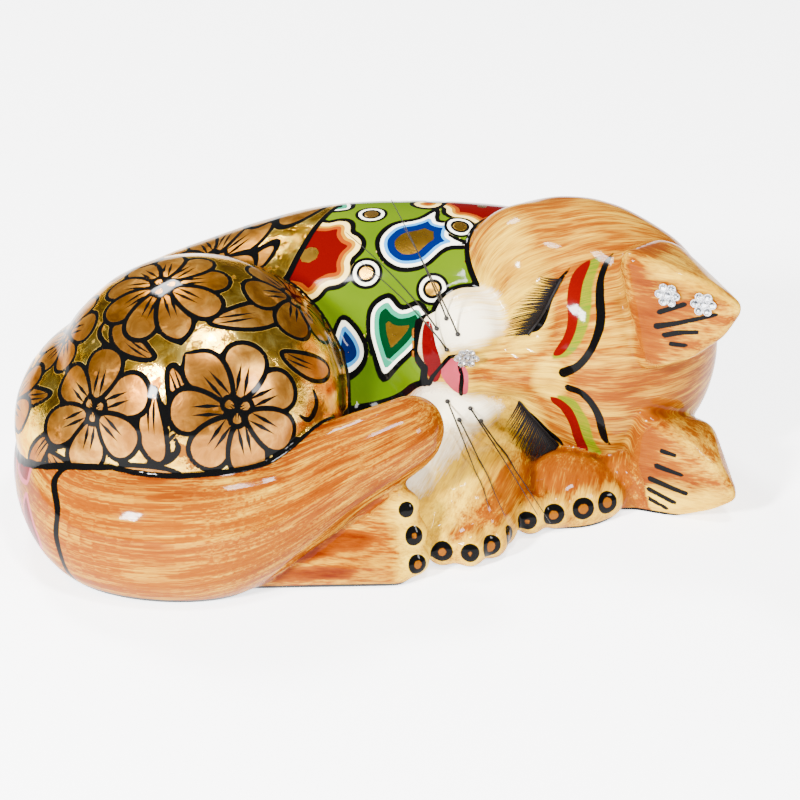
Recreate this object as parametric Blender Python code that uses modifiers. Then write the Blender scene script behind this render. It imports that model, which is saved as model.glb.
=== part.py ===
"""A papier-mache cat, curled up asleep, with bristle whiskers, false lashes and rhinestone flowers.

Metres, +Z up. The cat lies on the XY plane with its haunch at -X and its head at +X. Its face
looks along -Y. The origin is the middle of its footprint.
"""

import math

import bmesh
import bpy
from mathutils import Euler, Matrix, Vector
from mathutils.bvhtree import BVHTree

TITLE = "papier mache cat"

# Driving dimensions
LENGTH = 0.305  # from the haunch to the tip of the upper ear
WHISKER_LENGTH = 0.062
WHISKER_THICKNESS = 0.0008
WHISKER_KNOT = 0.0018  # the drop of lacquer at a whisker's root, across
LASH_LENGTH = 0.027  # along the closed eye
LASH_HAIR = 0.013  # the longest hair of a lash
LASH_STRIP = 0.0014  # the width of the glued strip
GEM_WIDTH = 0.0108  # across a rhinestone flower
CLEARANCE = 0.0003  # left between the body and what is stuck on it
BODY_FACES = 8000

# The figure is drawn on a grid of squares, and all its masses are shares of its length.
SQUARES = 305
GRID = LENGTH / SQUARES

# The middle of the footprint on the drawing grid, which becomes the origin
FOOTPRINT_MIDDLE = (-2.16, 18.06)

# How fine the clay is worked, in squares
ROUGH_CLAY = 3.0
FINE_CLAY = 2.1
BALL_SEGMENTS = 28


def at(x, y, z):
    """A point of the drawing grid, in metres."""
    return Vector((x, y, z)) * GRID


# The head is modelled upright: side towards the upper ear, front out of the face, up to the crown.
HEAD_CENTRE = (88, 45, 61)
HEAD_TIP = math.radians(-4)  # how far the face looks up
HEAD_NOD = math.radians(25)  # how far the chin is tucked towards the chest
HEAD_LEAN = math.radians(0)  # how far the crown sinks to the floor


def head_matrix():
    """Takes the upright head to where it lies on its cheek."""
    lying = Matrix(((0, 0, 1), (0, -1, 0), (1, 0, 0))).to_4x4()
    turned = (
        Matrix.Rotation(-HEAD_NOD, 4, "Z")
        @ Matrix.Rotation(HEAD_LEAN, 4, "Y")
        @ Matrix.Rotation(-HEAD_TIP, 4, "X")
    )
    return Matrix.Translation(at(*HEAD_CENTRE)) @ turned @ lying


def ball(centre, radii, turn=(0, 0, 0)):
    """The matrix of an ellipsoid, from squares and degrees."""
    place = Matrix.Translation(at(*centre))
    spin = Euler([math.radians(a) for a in turn]).to_matrix().to_4x4()
    return place @ spin @ Matrix.Diagonal((*at(*radii), 1))


def smooth_path(points, steps):
    """Points of a Catmull-Rom curve through rows of numbers, steps to each stretch."""
    rows = [Vector(p) for p in points]
    rows = [rows[0] * 2 - rows[1], *rows, rows[-1] * 2 - rows[-2]]
    found = []
    for a, b, c, d in zip(rows, rows[1:], rows[2:], rows[3:]):
        for i in range(steps):
            t = i / steps
            bend = a * 2 - b * 5 + c * 4 - d
            twist = b * 3 - a - c * 3 + d
            found.append((b * 2 + (c - a) * t + bend * t**2 + twist * t**3) / 2)
    return found + [rows[-2]]


def roll(points, steps=7):
    """A roll of clay along a curve, as balls: each point is x, y, z and a radius."""
    return [ball(p[:3], (p[3],) * 3) for p in smooth_path(points, steps)]


def clay_of(balls, place=Matrix.Identity(4)):
    """A bmesh of loose ellipsoids, ready to be kneaded into one."""
    clay = bmesh.new()
    for matrix in balls:
        bmesh.ops.create_uvsphere(
            clay,
            u_segments=BALL_SEGMENTS,
            v_segments=BALL_SEGMENTS // 2,
            radius=1,
            matrix=place @ matrix,
        )
    return clay


def evaluated_mesh(obj, name):
    graph = bpy.context.evaluated_depsgraph_get()
    return bpy.data.meshes.new_from_object(obj.evaluated_get(graph))


def knead(clay, squares, rounds, name="clay"):
    """Joins what overlaps into one skin of even squares and smooths it, round after round."""
    mesh = bpy.data.meshes.new(name)
    clay.to_mesh(mesh)
    clay.free()
    obj = bpy.data.objects.new(name, mesh)
    bpy.context.collection.objects.link(obj)
    remesh = obj.modifiers.new("one skin", "REMESH")
    remesh.mode = "VOXEL"
    remesh.voxel_size = squares * GRID
    smooth = obj.modifiers.new("smooth", "SMOOTH")
    smooth.factor = 0.5
    smooth.iterations = rounds
    made = evaluated_mesh(obj, name)
    bpy.data.objects.remove(obj)
    bpy.data.meshes.remove(mesh)
    return made


def join(*meshes):
    """One bmesh of several meshes."""
    clay = bmesh.new()
    for mesh in meshes:
        clay.from_mesh(mesh)
        bpy.data.meshes.remove(mesh)
    return clay


def hull(balls, place=Matrix.Identity(4)):
    """The skin stretched over a few balls."""
    clay = clay_of(balls, place)
    bmesh.ops.delete(clay, geom=clay.edges[:] + clay.faces[:], context="EDGES_FACES")
    found = bmesh.ops.convex_hull(clay, input=clay.verts)
    spare = set(found["geom_interior"] + found["geom_unused"])
    spare = [v for v in spare if isinstance(v, bmesh.types.BMVert)]
    bmesh.ops.delete(clay, geom=spare, context="VERTS")
    bmesh.ops.recalc_face_normals(clay, faces=clay.faces)
    return clay


def carve(mesh, cutter, operation="DIFFERENCE"):
    """A mesh with a cutter taken away from it or joined to it."""
    tool = bpy.data.meshes.new("cutter")
    cutter.to_mesh(tool)
    cutter.free()
    objects = [bpy.data.objects.new(m.name, m) for m in (mesh, tool)]
    for obj in objects:
        bpy.context.collection.objects.link(obj)
    boolean = objects[0].modifiers.new("carve", "BOOLEAN")
    boolean.object = objects[1]
    boolean.operation = operation
    boolean.solver = "EXACT"
    made = evaluated_mesh(objects[0], mesh.name)
    for obj in objects:
        bpy.data.objects.remove(obj)
    for old in (mesh, tool):
        bpy.data.meshes.remove(old)
    return made


def trunk():
    """The curled back, the belly under it and the haunch."""
    back = roll(
        (
            (-94, 26, 50, 46),
            (-78, 36, 54, 48),
            (-55, 47, 55, 51.5),
            (-34, 56, 56, 54),
            (-10, 64, 56, 56),
            (30, 70, 54, 56),
            (62, 68, 52, 54),
            (92, 60, 50, 44),
        )
    )
    underside = roll(
        (
            (-88, 22, 28, 50),
            (-55, 42, 26, 52),
            (-10, 59, 24, 53),
            (30, 66, 22, 52),
            (62, 65, 20, 49),
            (90, 58, 16, 40),
        )
    )
    haunch = [ball((-76, -10, 58), (62, 62, 61)), ball((-92, -4, 46), (62, 62, 50))]
    belly = [
        ball((-20, 14, 32), (42, 34, 40)),
        ball((-82, -4, 14), (66, 64, 34)),
        ball((-8, -14, 14), (44, 44, 26)),
        ball((24, 4, 12), (32, 34, 23)),
        ball((105, 18, 8), (18, 20, 17)),
    ]
    return knead(clay_of(back + underside + haunch + belly), ROUGH_CLAY, 10, "trunk")


def tail():
    """The tail, round the haunch from behind to a blunt tip under the chin."""
    path = (
        (-94, 56, 40, 20),
        (-114, 26, 32, 31),
        (-126, -4, 28, 29),
        (-110, -46, 24, 32),
        (-74, -57, 25, 33),
        (-42, -54, 33, 25),
        (-17, -48, 45, 20),
        (8, -40, 55, 16),
        (13, -37, 58, 14),
    )
    return knead(clay_of(roll(path)), ROUGH_CLAY, 6, "tail")


def skull():
    """The head with its muzzle, brow and closed eyes, without the ears."""
    masses = [
        ball((0, -4, -6), (61, 48, 62)),
        ball((0, -4, 14), (55, 44, 43)),
        ball((0, 14, 14), (46, 30, 30)),
    ]
    for side in (-1, 1):
        masses.append(ball((side * 34, 6, -20), (27, 29, 32)))
    mesh = knead(clay_of(masses, head_matrix()), 2.4, 14, "skull")
    for side in (-1, 1):
        mesh = carve(mesh, clay_of([ball((side * 32, 43, -5), (19, 9, 14))], head_matrix()))
    face = roll(((0, 28, 24, 13), (0, 32, 0, 12), (0, 40, -24, 11)), 5)
    face += [ball((0, 48, -35), (11, 8, 9)), ball((0, 32, -50), (14, 13, 10))]
    for side in (-1, 1):
        face.append(ball((side * 19 - 1, 39, -38), (16.5, 17, 16.5)))
        face.append(ball((side * 31, 23, -4), (15, 13, 10)))
    clay = clay_of(face, head_matrix())
    clay.from_mesh(mesh)
    bpy.data.meshes.remove(mesh)
    return knead(clay, 2.0, 6, "skull")


def ear(side):
    """One thick pointed ear with its hollow."""
    outer = [
        ball((side * 45 - 1, 29, 79), (2.8, 2.8, 2.8)),
        ball((side * 60 - 1, 31, 33), (4, 4, 4)),
        ball((side * 56 - 1, 31, 54), (3.5, 3.5, 3.5)),
        ball((side * 51 - 1, 30, 69), (3, 3, 3)),
        ball((side * 14 - 1, 32, 41), (4, 4, 4)),
        ball((side * 22 - 1, 32, 59), (3.5, 3.5, 3.5)),
        ball((side * 33 - 1, 30, 72), (3, 3, 3)),
        ball((side * 40 - 1, 4, 35), (15, 15, 17)),
        ball((side * 36 - 1, 8, 54), (9, 9, 9)),
        ball((side * 29 - 1, 14, 58), (8, 8, 8)),
    ]
    hollow = [
        ball((side * 44 - 1, 38, 71), (2, 4, 2)),
        ball((side * 50 - 1, 37, 56), (4, 5, 4)),
        ball((side * 53 - 1, 37, 40), (5, 6, 5)),
        ball((side * 29 - 1, 37, 62), (4, 5, 4)),
        ball((side * 22 - 1, 38, 48), (5, 6, 5)),
        ball((side * 38 - 1, 29, 48), (6, 5, 6)),
    ]
    mesh = knead(hull(outer, head_matrix()), 2.0, 3, "ear")
    return carve(mesh, hull(hollow, head_matrix()))


def paws():
    """The hind foot under the tail and the two front paws under the chin."""
    near = roll(((47, 12, 14, 18), (44, -9, 15, 18), (39, -27, 13, 17)))
    near += roll(((15, 10, 15, 17), (15, -12, 16, 17), (22, -30, 13, 15)))
    near += [ball(p, (8, 8.5, 9)) for p in ((26, -45, 8), (37, -46, 8), (46, -39, 8), (50, -29, 8))]
    far = [ball((80, 5, 7), (24, 23, 17), (0, 0, 14))]
    far += [ball(p, (8, 8.5, 9)) for p in ((63, -18, 8), (74, -13, 8), (86, -8, 8), (96, -3, 8))]
    toes = [ball(p, (7, 8, 7)) for p in ((10, -52, 30), (13, -54, 19), (14, -57, 8))]
    heel = hull(
        [
            ball((-66, -58, 10), (14, 14, 14)),
            ball((-50, -48, 26), (10, 10, 10)),
            ball((2, -51, 29), (7, 7, 7)),
            ball((3, -49, 40), (7, 7, 7)),
            ball((6, -60, 6), (8, 8, 8)),
            ball((4, -40, 10), (8, 8, 8)),
        ]
    )
    foot = bpy.data.meshes.new("foot")
    heel.to_mesh(foot)
    heel.free()
    clay = clay_of(near + far + toes)
    clay.from_mesh(foot)
    bpy.data.meshes.remove(foot)
    return knead(clay, FINE_CLAY, 4, "paws")


def cat():
    """The whole cat, its underside cut flat on the floor."""
    clay = join(trunk(), tail(), skull(), ear(1), ear(-1), paws())
    mesh = knead(clay, FINE_CLAY, 4, "cat_body")
    whole = len(mesh.polygons) * 2
    mesh = thin_out(mesh, BODY_FACES / whole)
    floor = bmesh.new()
    slab = Matrix.Translation(at(0, 0, -50)) @ Matrix.Diagonal((*at(500, 500, 100), 1))
    bmesh.ops.create_cube(floor, size=1, matrix=slab)
    return carve(mesh, floor)


def thin_out(mesh, share):
    """Keeps a share of the faces, most of them where the form turns."""
    obj = bpy.data.objects.new(mesh.name, mesh)
    bpy.context.collection.objects.link(obj)
    thin = obj.modifiers.new("thin out", "DECIMATE")
    thin.ratio = share
    made = evaluated_mesh(obj, mesh.name)
    bpy.data.objects.remove(obj)
    bpy.data.meshes.remove(mesh)
    return made


class Skin:
    """The surface of the body, to stick things on."""

    def __init__(self, mesh):
        clay = bmesh.new()
        clay.from_mesh(mesh)
        self.tree = BVHTree.FromBMesh(clay)
        clay.free()
        self.head = head_matrix()

    def face_at(self, side, crown):
        """Where a line into the face meets it, and the way out there, in head squares."""
        start = self.head @ at(side, 58, crown)
        inward = self.head.to_3x3() @ Vector((0, -1, 0))
        point, normal = self.tree.ray_cast(start, inward)[:2]
        return point, normal

    def gap(self, point):
        """How far a point is from the surface, below nothing inside."""
        near, normal, _, distance = self.tree.find_nearest(point)
        return math.copysign(distance, (point - near).dot(normal)), normal

    def clear(self, point, room):
        """The point, moved out until it has room to the surface."""
        for _ in range(6):
            gap, normal = self.gap(point)
            if gap >= room:
                break
            point = point + normal * (room - gap)
        return point


def rod(points, radii, sides, outward=None):
    """A tapered rod along points. With a way out it is a strip, half as thick as it is wide."""
    clay = bmesh.new()
    rings = []
    last = len(points) - 1
    side = None
    for i, point in enumerate(points):
        along = (points[min(i + 1, last)] - points[max(i - 1, 0)]).normalized()
        up = outward[i] if outward else (side or along.orthogonal())
        up = (up - along * up.dot(along)).normalized()
        side = up
        turn = Matrix((along.cross(up), up, along)).transposed().to_4x4()
        flat = Matrix.Diagonal((1, 0.5 if outward else 1, 1, 1))
        ring = bmesh.ops.create_circle(
            clay, radius=radii[i], segments=sides, matrix=Matrix.Translation(point) @ turn @ flat
        )
        rings.append(list({e for v in ring["verts"] for e in v.link_edges}))
    for a, b in zip(rings, rings[1:]):
        bmesh.ops.bridge_loops(clay, edges=a + b)
    bmesh.ops.holes_fill(clay, edges=rings[0] + rings[-1])
    bmesh.ops.recalc_face_normals(clay, faces=clay.faces)
    return clay


def finish(name, clay, colour, metallic=0.0, roughness=0.3):
    """Puts a bmesh or mesh in the scene under its own name and material."""
    if isinstance(clay, bmesh.types.BMesh):
        mesh = bpy.data.meshes.new(name)
        clay.to_mesh(mesh)
        clay.free()
    else:
        mesh = clay
        mesh.name = name
    obj = bpy.data.objects.new(name, mesh)
    material = bpy.data.materials.new(name)
    material.use_nodes = True
    shader = material.node_tree.nodes["Principled BSDF"]
    shader.inputs["Base Color"].default_value = (*colour, 1)
    shader.inputs["Metallic"].default_value = metallic
    shader.inputs["Roughness"].default_value = roughness
    mesh.materials.clear()
    mesh.materials.append(material)
    mesh.transform(Matrix.Translation(at(-FOOTPRINT_MIDDLE[0], -FOOTPRINT_MIDDLE[1], 0)))
    bpy.data.collections[TITLE].objects.link(obj)
    return obj


# Roots on the face as side and crown, the way the whisker points, and how it bows
WHISKERS = {
    "upper": (
        ((22, -45), (-37, -8, 46), (2, 0, 2)),
        ((14, -40), (-34, -15, 44), (2, 0, 2)),
        ((27, -41), (-21, -6, 51), (1, 0, 1)),
        ((22, -35), (-21, -13, 50), (1, 0, 1)),
    ),
    "lower": (
        ((-12, -41), (17, -57, -23), (0, -2, 2)),
        ((-19, -35), (19, -61, -17), (0, -2, 2)),
        ((-14, -31), (31, -56, -29), (0, -2, 2)),
        ((-20, -27), (30, -54, -24), (0, -2, 2)),
    ),
}
WHISKER_STEPS = 5


def whisker(skin, root, way, bow):
    """A stiff hair in a drop of lacquer."""
    point, normal = skin.face_at(*root)
    knot = WHISKER_KNOT / 2
    start = skin.clear(point, CLEARANCE + knot * 0.2)
    way = Vector(way).normalized()
    points = [start, start + way * knot]
    radii = [knot, knot * 0.9]
    for i in range(1, WHISKER_STEPS + 1):
        t = i / WHISKER_STEPS
        bend = Vector(bow) / 50 * (t - t * t) * 2
        ideal = start + (way * (t + 0.03) + bend) * WHISKER_LENGTH / 1.03
        points.append(skin.clear(ideal, CLEARANCE + WHISKER_THICKNESS))
        radii.append(WHISKER_THICKNESS / 2 * (1 - 0.5 * t))
    points[0] = skin.clear(start, CLEARANCE + knot)
    return rod(points, radii, 5)


# The inner and outer end of each closed eye, and which way its lashes reach, in the head's frame
EYES = {
    "upper": ((17, -11), (44, 2), (0.05, 0.5, -0.86)),
    "lower": ((-13, -12), (-33, 1), (-0.8, 0.55, -0.2)),
}
LASH_STEPS = 8
LASH_HAIRS = 13


def lash(skin, inner, outer, reach):
    """A false lash: a strip along the closed eye and a fringe of hairs."""
    middle = (Vector(inner) + Vector(outer)) / 2
    half = (Vector(outer) - Vector(inner)).normalized() * (LASH_LENGTH / GRID / 2)
    reach = (skin.head.to_3x3() @ Vector(reach)).normalized()
    strip, ways = [], []
    for i in range(LASH_STEPS + 1):
        t = 2 * i / LASH_STEPS - 1
        spot = middle + half * t + Vector((0, 1.0)) * (1 - t * t)
        point, normal = skin.face_at(*spot)
        strip.append(skin.clear(point, CLEARANCE + LASH_STRIP * 0.55))
        ways.append(normal)
    mesh = bpy.data.meshes.new("strip")
    band = rod(strip, [LASH_STRIP / 2] * len(strip), 6, ways)
    band.to_mesh(mesh)
    band.free()
    fringe = bmesh.new()
    for i in range(LASH_HAIRS):
        t = (i + 0.5) / LASH_HAIRS * LASH_STEPS
        a, b = strip[int(t)], strip[min(int(t) + 1, LASH_STEPS)]
        root = a.lerp(b, t - int(t))
        out = ways[int(t)]
        share = 0.72 + 0.28 * math.sin(math.pi * (i + 0.5) / LASH_HAIRS)
        points = []
        for step in (-0.01, 0.5, 1.0):
            bend = (reach * step + out * 0.35 * step * step) * LASH_HAIR * share
            points.append(skin.clear(root + bend, CLEARANCE + LASH_STRIP * 0.4))
        hair = rod(points, [LASH_STRIP * k for k in (0.22, 0.18, 0.1)], 4)
        scrap = bpy.data.meshes.new("hair")
        hair.to_mesh(scrap)
        hair.free()
        fringe.from_mesh(scrap)
        bpy.data.meshes.remove(scrap)
    return carve(mesh, fringe, "UNION")


# The middle of each rhinestone flower on the face, as side and crown
GEMS = {"gem_nose": (12, -32), "gem_ear_inner": (48, 51), "gem_ear_outer": (46, 66)}
STONES = 6
STONE_SIDES = 8


def gem(skin, side, crown):
    """A flower of seven faceted stones on a thin plate."""
    point, normal = skin.face_at(side, crown)
    stone = GEM_WIDTH / 6
    plate = stone * 0.4
    turn = normal.to_track_quat("Z", "Y").to_matrix().to_4x4()
    disc = bmesh.new()
    bmesh.ops.create_cone(
        disc, cap_ends=True, segments=18, radius1=stone * 2.3, radius2=stone * 2.3, depth=plate
    )
    mesh = bpy.data.meshes.new("plate")
    disc.to_mesh(mesh)
    disc.free()
    stones = bmesh.new()
    spots = [(0, 0)]
    for i in range(STONES):
        angle = math.tau * i / STONES
        spots.append((math.cos(angle) * stone * 2, math.sin(angle) * stone * 2))
    for x, y in spots:
        bmesh.ops.create_cone(
            stones,
            cap_ends=True,
            segments=STONE_SIDES,
            radius1=stone * 0.97,
            radius2=stone * 0.55,
            depth=stone * 0.8,
            matrix=Matrix.Translation((x, y, stone * 0.5)),
        )
    mesh = carve(mesh, stones, "UNION")
    lift = 0.0
    for _ in range(200):
        place = Matrix.Translation(point + normal * (plate / 2 + lift)) @ turn
        if min(skin.gap(place @ v.co)[0] for v in mesh.vertices) >= CLEARANCE:
            break
        lift += CLEARANCE / 6
    mesh.transform(place)
    return mesh


def main():
    for obj in list(bpy.data.objects):
        bpy.data.objects.remove(obj)
    bpy.context.scene.collection.children.link(bpy.data.collections.new(TITLE))
    mesh = cat()
    skin = Skin(mesh)
    finish("cat_body", mesh, (0.85, 0.42, 0.12))
    for row, hairs in WHISKERS.items():
        for i, (root, way, bow) in enumerate(hairs):
            finish(f"whisker_{row}_{i + 1}", whisker(skin, root, way, bow), (0.02, 0.02, 0.02))
    for row, (inner, outer, reach) in EYES.items():
        finish(f"lash_{row}", lash(skin, inner, outer, reach), (0.015, 0.012, 0.012), 0, 0.5)
    for name, (side, crown) in GEMS.items():
        finish(name, gem(skin, side, crown), (0.9, 0.9, 0.95), 0.6, 0.1)
    for obj in bpy.data.objects:
        print(obj.name, sum(len(p.vertices) - 2 for p in obj.data.polygons))


if __name__ == "__main__":
    main()
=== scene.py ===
# %% [markdown]
# A papier-mache cat curled up asleep, painted and lacquered, is modelled here as a lesson in
# six steps: the moulded body, the charts that say where each colour goes, the painted
# materials, the whiskers and lashes, the rhinestones, and the studio.

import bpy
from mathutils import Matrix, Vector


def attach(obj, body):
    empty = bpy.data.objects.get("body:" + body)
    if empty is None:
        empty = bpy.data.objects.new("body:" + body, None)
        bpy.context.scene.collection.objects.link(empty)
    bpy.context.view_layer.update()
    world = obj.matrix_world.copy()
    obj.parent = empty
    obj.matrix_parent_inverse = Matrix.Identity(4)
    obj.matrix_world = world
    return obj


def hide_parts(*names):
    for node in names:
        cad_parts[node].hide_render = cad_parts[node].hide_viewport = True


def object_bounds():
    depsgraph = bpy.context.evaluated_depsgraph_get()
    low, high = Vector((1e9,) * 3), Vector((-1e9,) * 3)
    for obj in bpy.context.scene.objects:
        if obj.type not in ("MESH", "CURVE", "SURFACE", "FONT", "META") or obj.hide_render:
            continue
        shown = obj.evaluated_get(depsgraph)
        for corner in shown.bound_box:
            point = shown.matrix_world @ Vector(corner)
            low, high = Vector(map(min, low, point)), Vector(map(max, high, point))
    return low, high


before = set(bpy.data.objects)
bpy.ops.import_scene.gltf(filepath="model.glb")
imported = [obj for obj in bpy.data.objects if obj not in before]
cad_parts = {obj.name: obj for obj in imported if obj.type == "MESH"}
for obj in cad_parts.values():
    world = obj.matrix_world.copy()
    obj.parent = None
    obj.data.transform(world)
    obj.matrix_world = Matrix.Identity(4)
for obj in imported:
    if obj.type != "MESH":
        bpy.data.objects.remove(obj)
LOW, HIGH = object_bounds()
print("frame", [round(h - l, 4) for l, h in zip(LOW, HIGH)])

# %% [markdown]
# All masses are drawn on a grid of one-millimetre squares, 305 to the length of the cat, so
# that a place reads like a measure off a ruler. The drawing's origin is not the middle of
# the footprint, so finished pieces are shifted.

# %% Grid
import math
from functools import reduce

import bmesh
import bpy
import numpy as np
from mathutils import Euler, Matrix, Vector
from mathutils.bvhtree import BVHTree

LENGTH = 0.305
GRID = LENGTH / 305
MIDDLE = (-2.16, 18.06)
CLAY = 1.4
HEAD_CENTRE = (88, 45, 61)
HEAD_NOD = -25
HEAD_TIP = 4


def at(x, y, z):
    return Vector((x, y, z)) * GRID


def head_matrix():
    """Takes the upright head to where it lies on its cheek."""
    lying = Matrix(((0, 0, 1), (0, -1, 0), (1, 0, 0))).to_4x4()
    nod = Matrix.Rotation(math.radians(HEAD_NOD), 4, "Z")
    tip = Matrix.Rotation(math.radians(HEAD_TIP), 4, "X")
    return Matrix.Translation(at(*HEAD_CENTRE)) @ nod @ tip @ lying


HEAD = head_matrix()
HOME = Matrix.Translation(at(-MIDDLE[0], -MIDDLE[1], 0))

# %% [markdown]
# The real cat is paper pulp pressed over a form, so it has no flat faces and no hard joins.
# It could be one mesh pushed about by hand, but then its shape couldn't be read or changed
# as measures. So clay is added as balls and rolls of balls, and kneading joins what
# overlaps into one even skin with a voxel remesh, and smooths it.

# %% Clay tools


def ball(centre, radii, turn=(0, 0, 0)):
    spin = Euler([math.radians(a) for a in turn]).to_matrix().to_4x4()
    return Matrix.Translation(at(*centre)) @ spin @ Matrix.Diagonal((*at(*radii), 1))


def smooth_path(points, steps):
    """Points of a Catmull-Rom curve through rows of numbers."""
    rows = [Vector(p) for p in points]
    rows = [rows[0] * 2 - rows[1], *rows, rows[-1] * 2 - rows[-2]]
    found = []
    for a, b, c, d in zip(rows, rows[1:], rows[2:], rows[3:]):
        for i in range(steps):
            t = i / steps
            bend = a * 2 - b * 5 + c * 4 - d
            twist = b * 3 - a - c * 3 + d
            found.append((b * 2 + (c - a) * t + bend * t**2 + twist * t**3) / 2)
    return found + [rows[-2]]


def roll(points, steps=7):
    return [ball(p[:3], (p[3],) * 3) for p in smooth_path(points, steps)]


def mesh_of(clay, name):
    mesh = bpy.data.meshes.new(name)
    clay.to_mesh(mesh)
    clay.free()
    return mesh


def link(name, data):
    obj = bpy.data.objects.new(name, data)
    bpy.context.scene.collection.objects.link(obj)
    return obj


unit = bmesh.new()
bmesh.ops.create_uvsphere(unit, u_segments=28, v_segments=14, radius=1)
UNIT = mesh_of(unit, "unit ball")


def clay_of(balls, place=Matrix.Identity(4)):
    """Stamps the unit ball once for each matrix."""
    clay = bmesh.new()
    for matrix in balls:
        stamp = UNIT.copy()
        stamp.transform(place @ matrix)
        clay.from_mesh(stamp)
        bpy.data.meshes.remove(stamp)
    return clay


def modified(mesh, name, *steps):
    """A copy of a mesh after some modifiers, each a kind and its settings."""
    obj = link(name, mesh)
    for kind, settings in steps:
        modifier = obj.modifiers.new(kind, kind)
        for key, value in settings.items():
            setattr(modifier, key, value)
    graph = bpy.context.evaluated_depsgraph_get()
    made = bpy.data.meshes.new_from_object(obj.evaluated_get(graph))
    made.name = name
    bpy.data.objects.remove(obj)
    bpy.data.meshes.remove(mesh)
    return made


def knead(clay, squares, rounds, name):
    skin = ("REMESH", {"mode": "VOXEL", "voxel_size": squares * GRID})
    smooth = ("SMOOTH", {"factor": 0.5, "iterations": rounds})
    return modified(mesh_of(clay, name), name, skin, smooth)


def join(*meshes, clay=None):
    """Adds meshes to some clay and uses them up."""
    clay = clay if clay else bmesh.new()
    for mesh in meshes:
        clay.from_mesh(mesh)
        bpy.data.meshes.remove(mesh)
    return clay


def hull(*clay_and_place):
    """The skin stretched over a few balls."""
    clay = clay_of(*clay_and_place)
    bmesh.ops.delete(clay, geom=clay.edges[:] + clay.faces[:], context="EDGES_FACES")
    found = bmesh.ops.convex_hull(clay, input=clay.verts)
    spare = set(found["geom_interior"] + found["geom_unused"])
    spare = [v for v in spare if isinstance(v, bmesh.types.BMVert)]
    bmesh.ops.delete(clay, geom=spare, context="VERTS")
    bmesh.ops.recalc_face_normals(clay, faces=clay.faces)
    return clay


def carve(mesh, cutter):
    tool = mesh_of(cutter, "cutter")
    knife = link("cutter", tool)
    settings = {"object": knife, "operation": "DIFFERENCE", "solver": "FAST"}
    made = modified(mesh, mesh.name, ("BOOLEAN", settings))
    bpy.data.objects.remove(knife)
    bpy.data.meshes.remove(tool)
    return made


# %% [markdown]
# The masses of the cat: the back, the haunch and the belly, the tail round the haunch, the
# head with its muzzle, brow and closed lids, the ears, and the paws. Each is kneaded as
# finely as its own forms need, and then all are kneaded into one. Balls can only add, so
# the sockets of the eyes and the hollows of the ears are carved.

# %% Masses
BACK = roll(
    (
        (-94, 26, 50, 46),
        (-78, 36, 54, 48),
        (-55, 47, 55, 51.5),
        (-34, 56, 56, 54),
        (-10, 64, 56, 56),
        (30, 70, 54, 56),
        (62, 68, 52, 54),
        (92, 60, 50, 44),
    )
)
UNDERSIDE = roll(
    (
        (-88, 22, 28, 50),
        (-55, 42, 26, 52),
        (-10, 59, 24, 53),
        (30, 66, 22, 52),
        (62, 65, 20, 49),
        (90, 58, 16, 40),
    )
)
HAUNCH = [ball((-76, -10, 58), (62, 62, 61)), ball((-92, -4, 46), (62, 62, 50))]
BELLY = [
    ball((-20, 14, 32), (42, 34, 40)),
    ball((-82, -4, 14), (66, 64, 34)),
    ball((-8, -14, 14), (44, 44, 26)),
    ball((24, 4, 12), (32, 34, 23)),
    ball((105, 18, 8), (18, 20, 17)),
]
TAIL_PATH = (
    (-94, 56, 40, 20),
    (-114, 26, 32, 31),
    (-126, -4, 28, 29),
    (-110, -46, 24, 32),
    (-74, -57, 25, 33),
    (-42, -54, 33, 25),
    (-17, -48, 45, 20),
    (8, -40, 55, 16),
    (13, -37, 58, 14),
)
TAIL = roll(TAIL_PATH)
SKULL = [
    ball((0, -4, -6), (61, 48, 62)),
    ball((0, -4, 14), (55, 44, 43)),
    ball((0, 14, 14), (46, 30, 30)),
    ball((-34, 6, -20), (27, 29, 32)),
    ball((34, 6, -20), (27, 29, 32)),
]
NEAR_ARM = roll(((47, 12, 14, 18), (44, -9, 15, 18), (39, -27, 13, 17)))
NEAR_ARM += roll(((15, 10, 15, 17), (15, -12, 16, 17), (22, -30, 13, 15)))
FAR_ARM = [ball((80, 5, 7), (24, 23, 17), (0, 0, 14))]


def toes(radii, *places):
    return [ball(place, radii) for place in places]


NEAR_TOES = toes((8, 8.5, 9), (26, -45, 8), (37, -46, 8), (46, -39, 8), (50, -29, 8))
FAR_TOES = toes((8, 8.5, 9), (63, -18, 8), (74, -13, 8), (86, -8, 8), (96, -3, 8))
HIND_TOES = toes((7, 8, 7), (10, -52, 30), (13, -54, 19), (14, -57, 8))
HEEL = [
    ball((-66, -58, 10), (14, 14, 14)),
    ball((-50, -48, 26), (10, 10, 10)),
    ball((2, -51, 29), (7, 7, 7)),
    ball((3, -49, 40), (7, 7, 7)),
    ball((6, -60, 6), (8, 8, 8)),
    ball((4, -40, 10), (8, 8, 8)),
]
MUZZLE = roll(((0, 28, 24, 13), (0, 32, 0, 12), (0, 40, -24, 11)), 5)
MUZZLE += [ball((0, 48, -35), (11, 8, 9)), ball((0, 32, -50), (14, 13, 10))]
for side in (-1, 1):
    MUZZLE.append(ball((side * 19 - 1, 39, -38), (16.5, 17, 16.5)))
    MUZZLE.append(ball((side * 31, 23, -4), (15, 13, 10)))


def skull():
    mesh = knead(clay_of(SKULL, HEAD), 2.4, 14, "skull")
    for side in (-1, 1):
        mesh = carve(mesh, clay_of([ball((side * 32, 43, -5), (19, 9, 14))], HEAD))
    return knead(join(mesh, clay=clay_of(MUZZLE, HEAD)), 1.7, 7, "skull")


def ear_balls(side, rows):
    """Balls for one ear, from rows of a right ear's centres and radii."""
    return [ball((side * x - 1, y, z), radii) for x, y, z, radii in rows]


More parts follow.
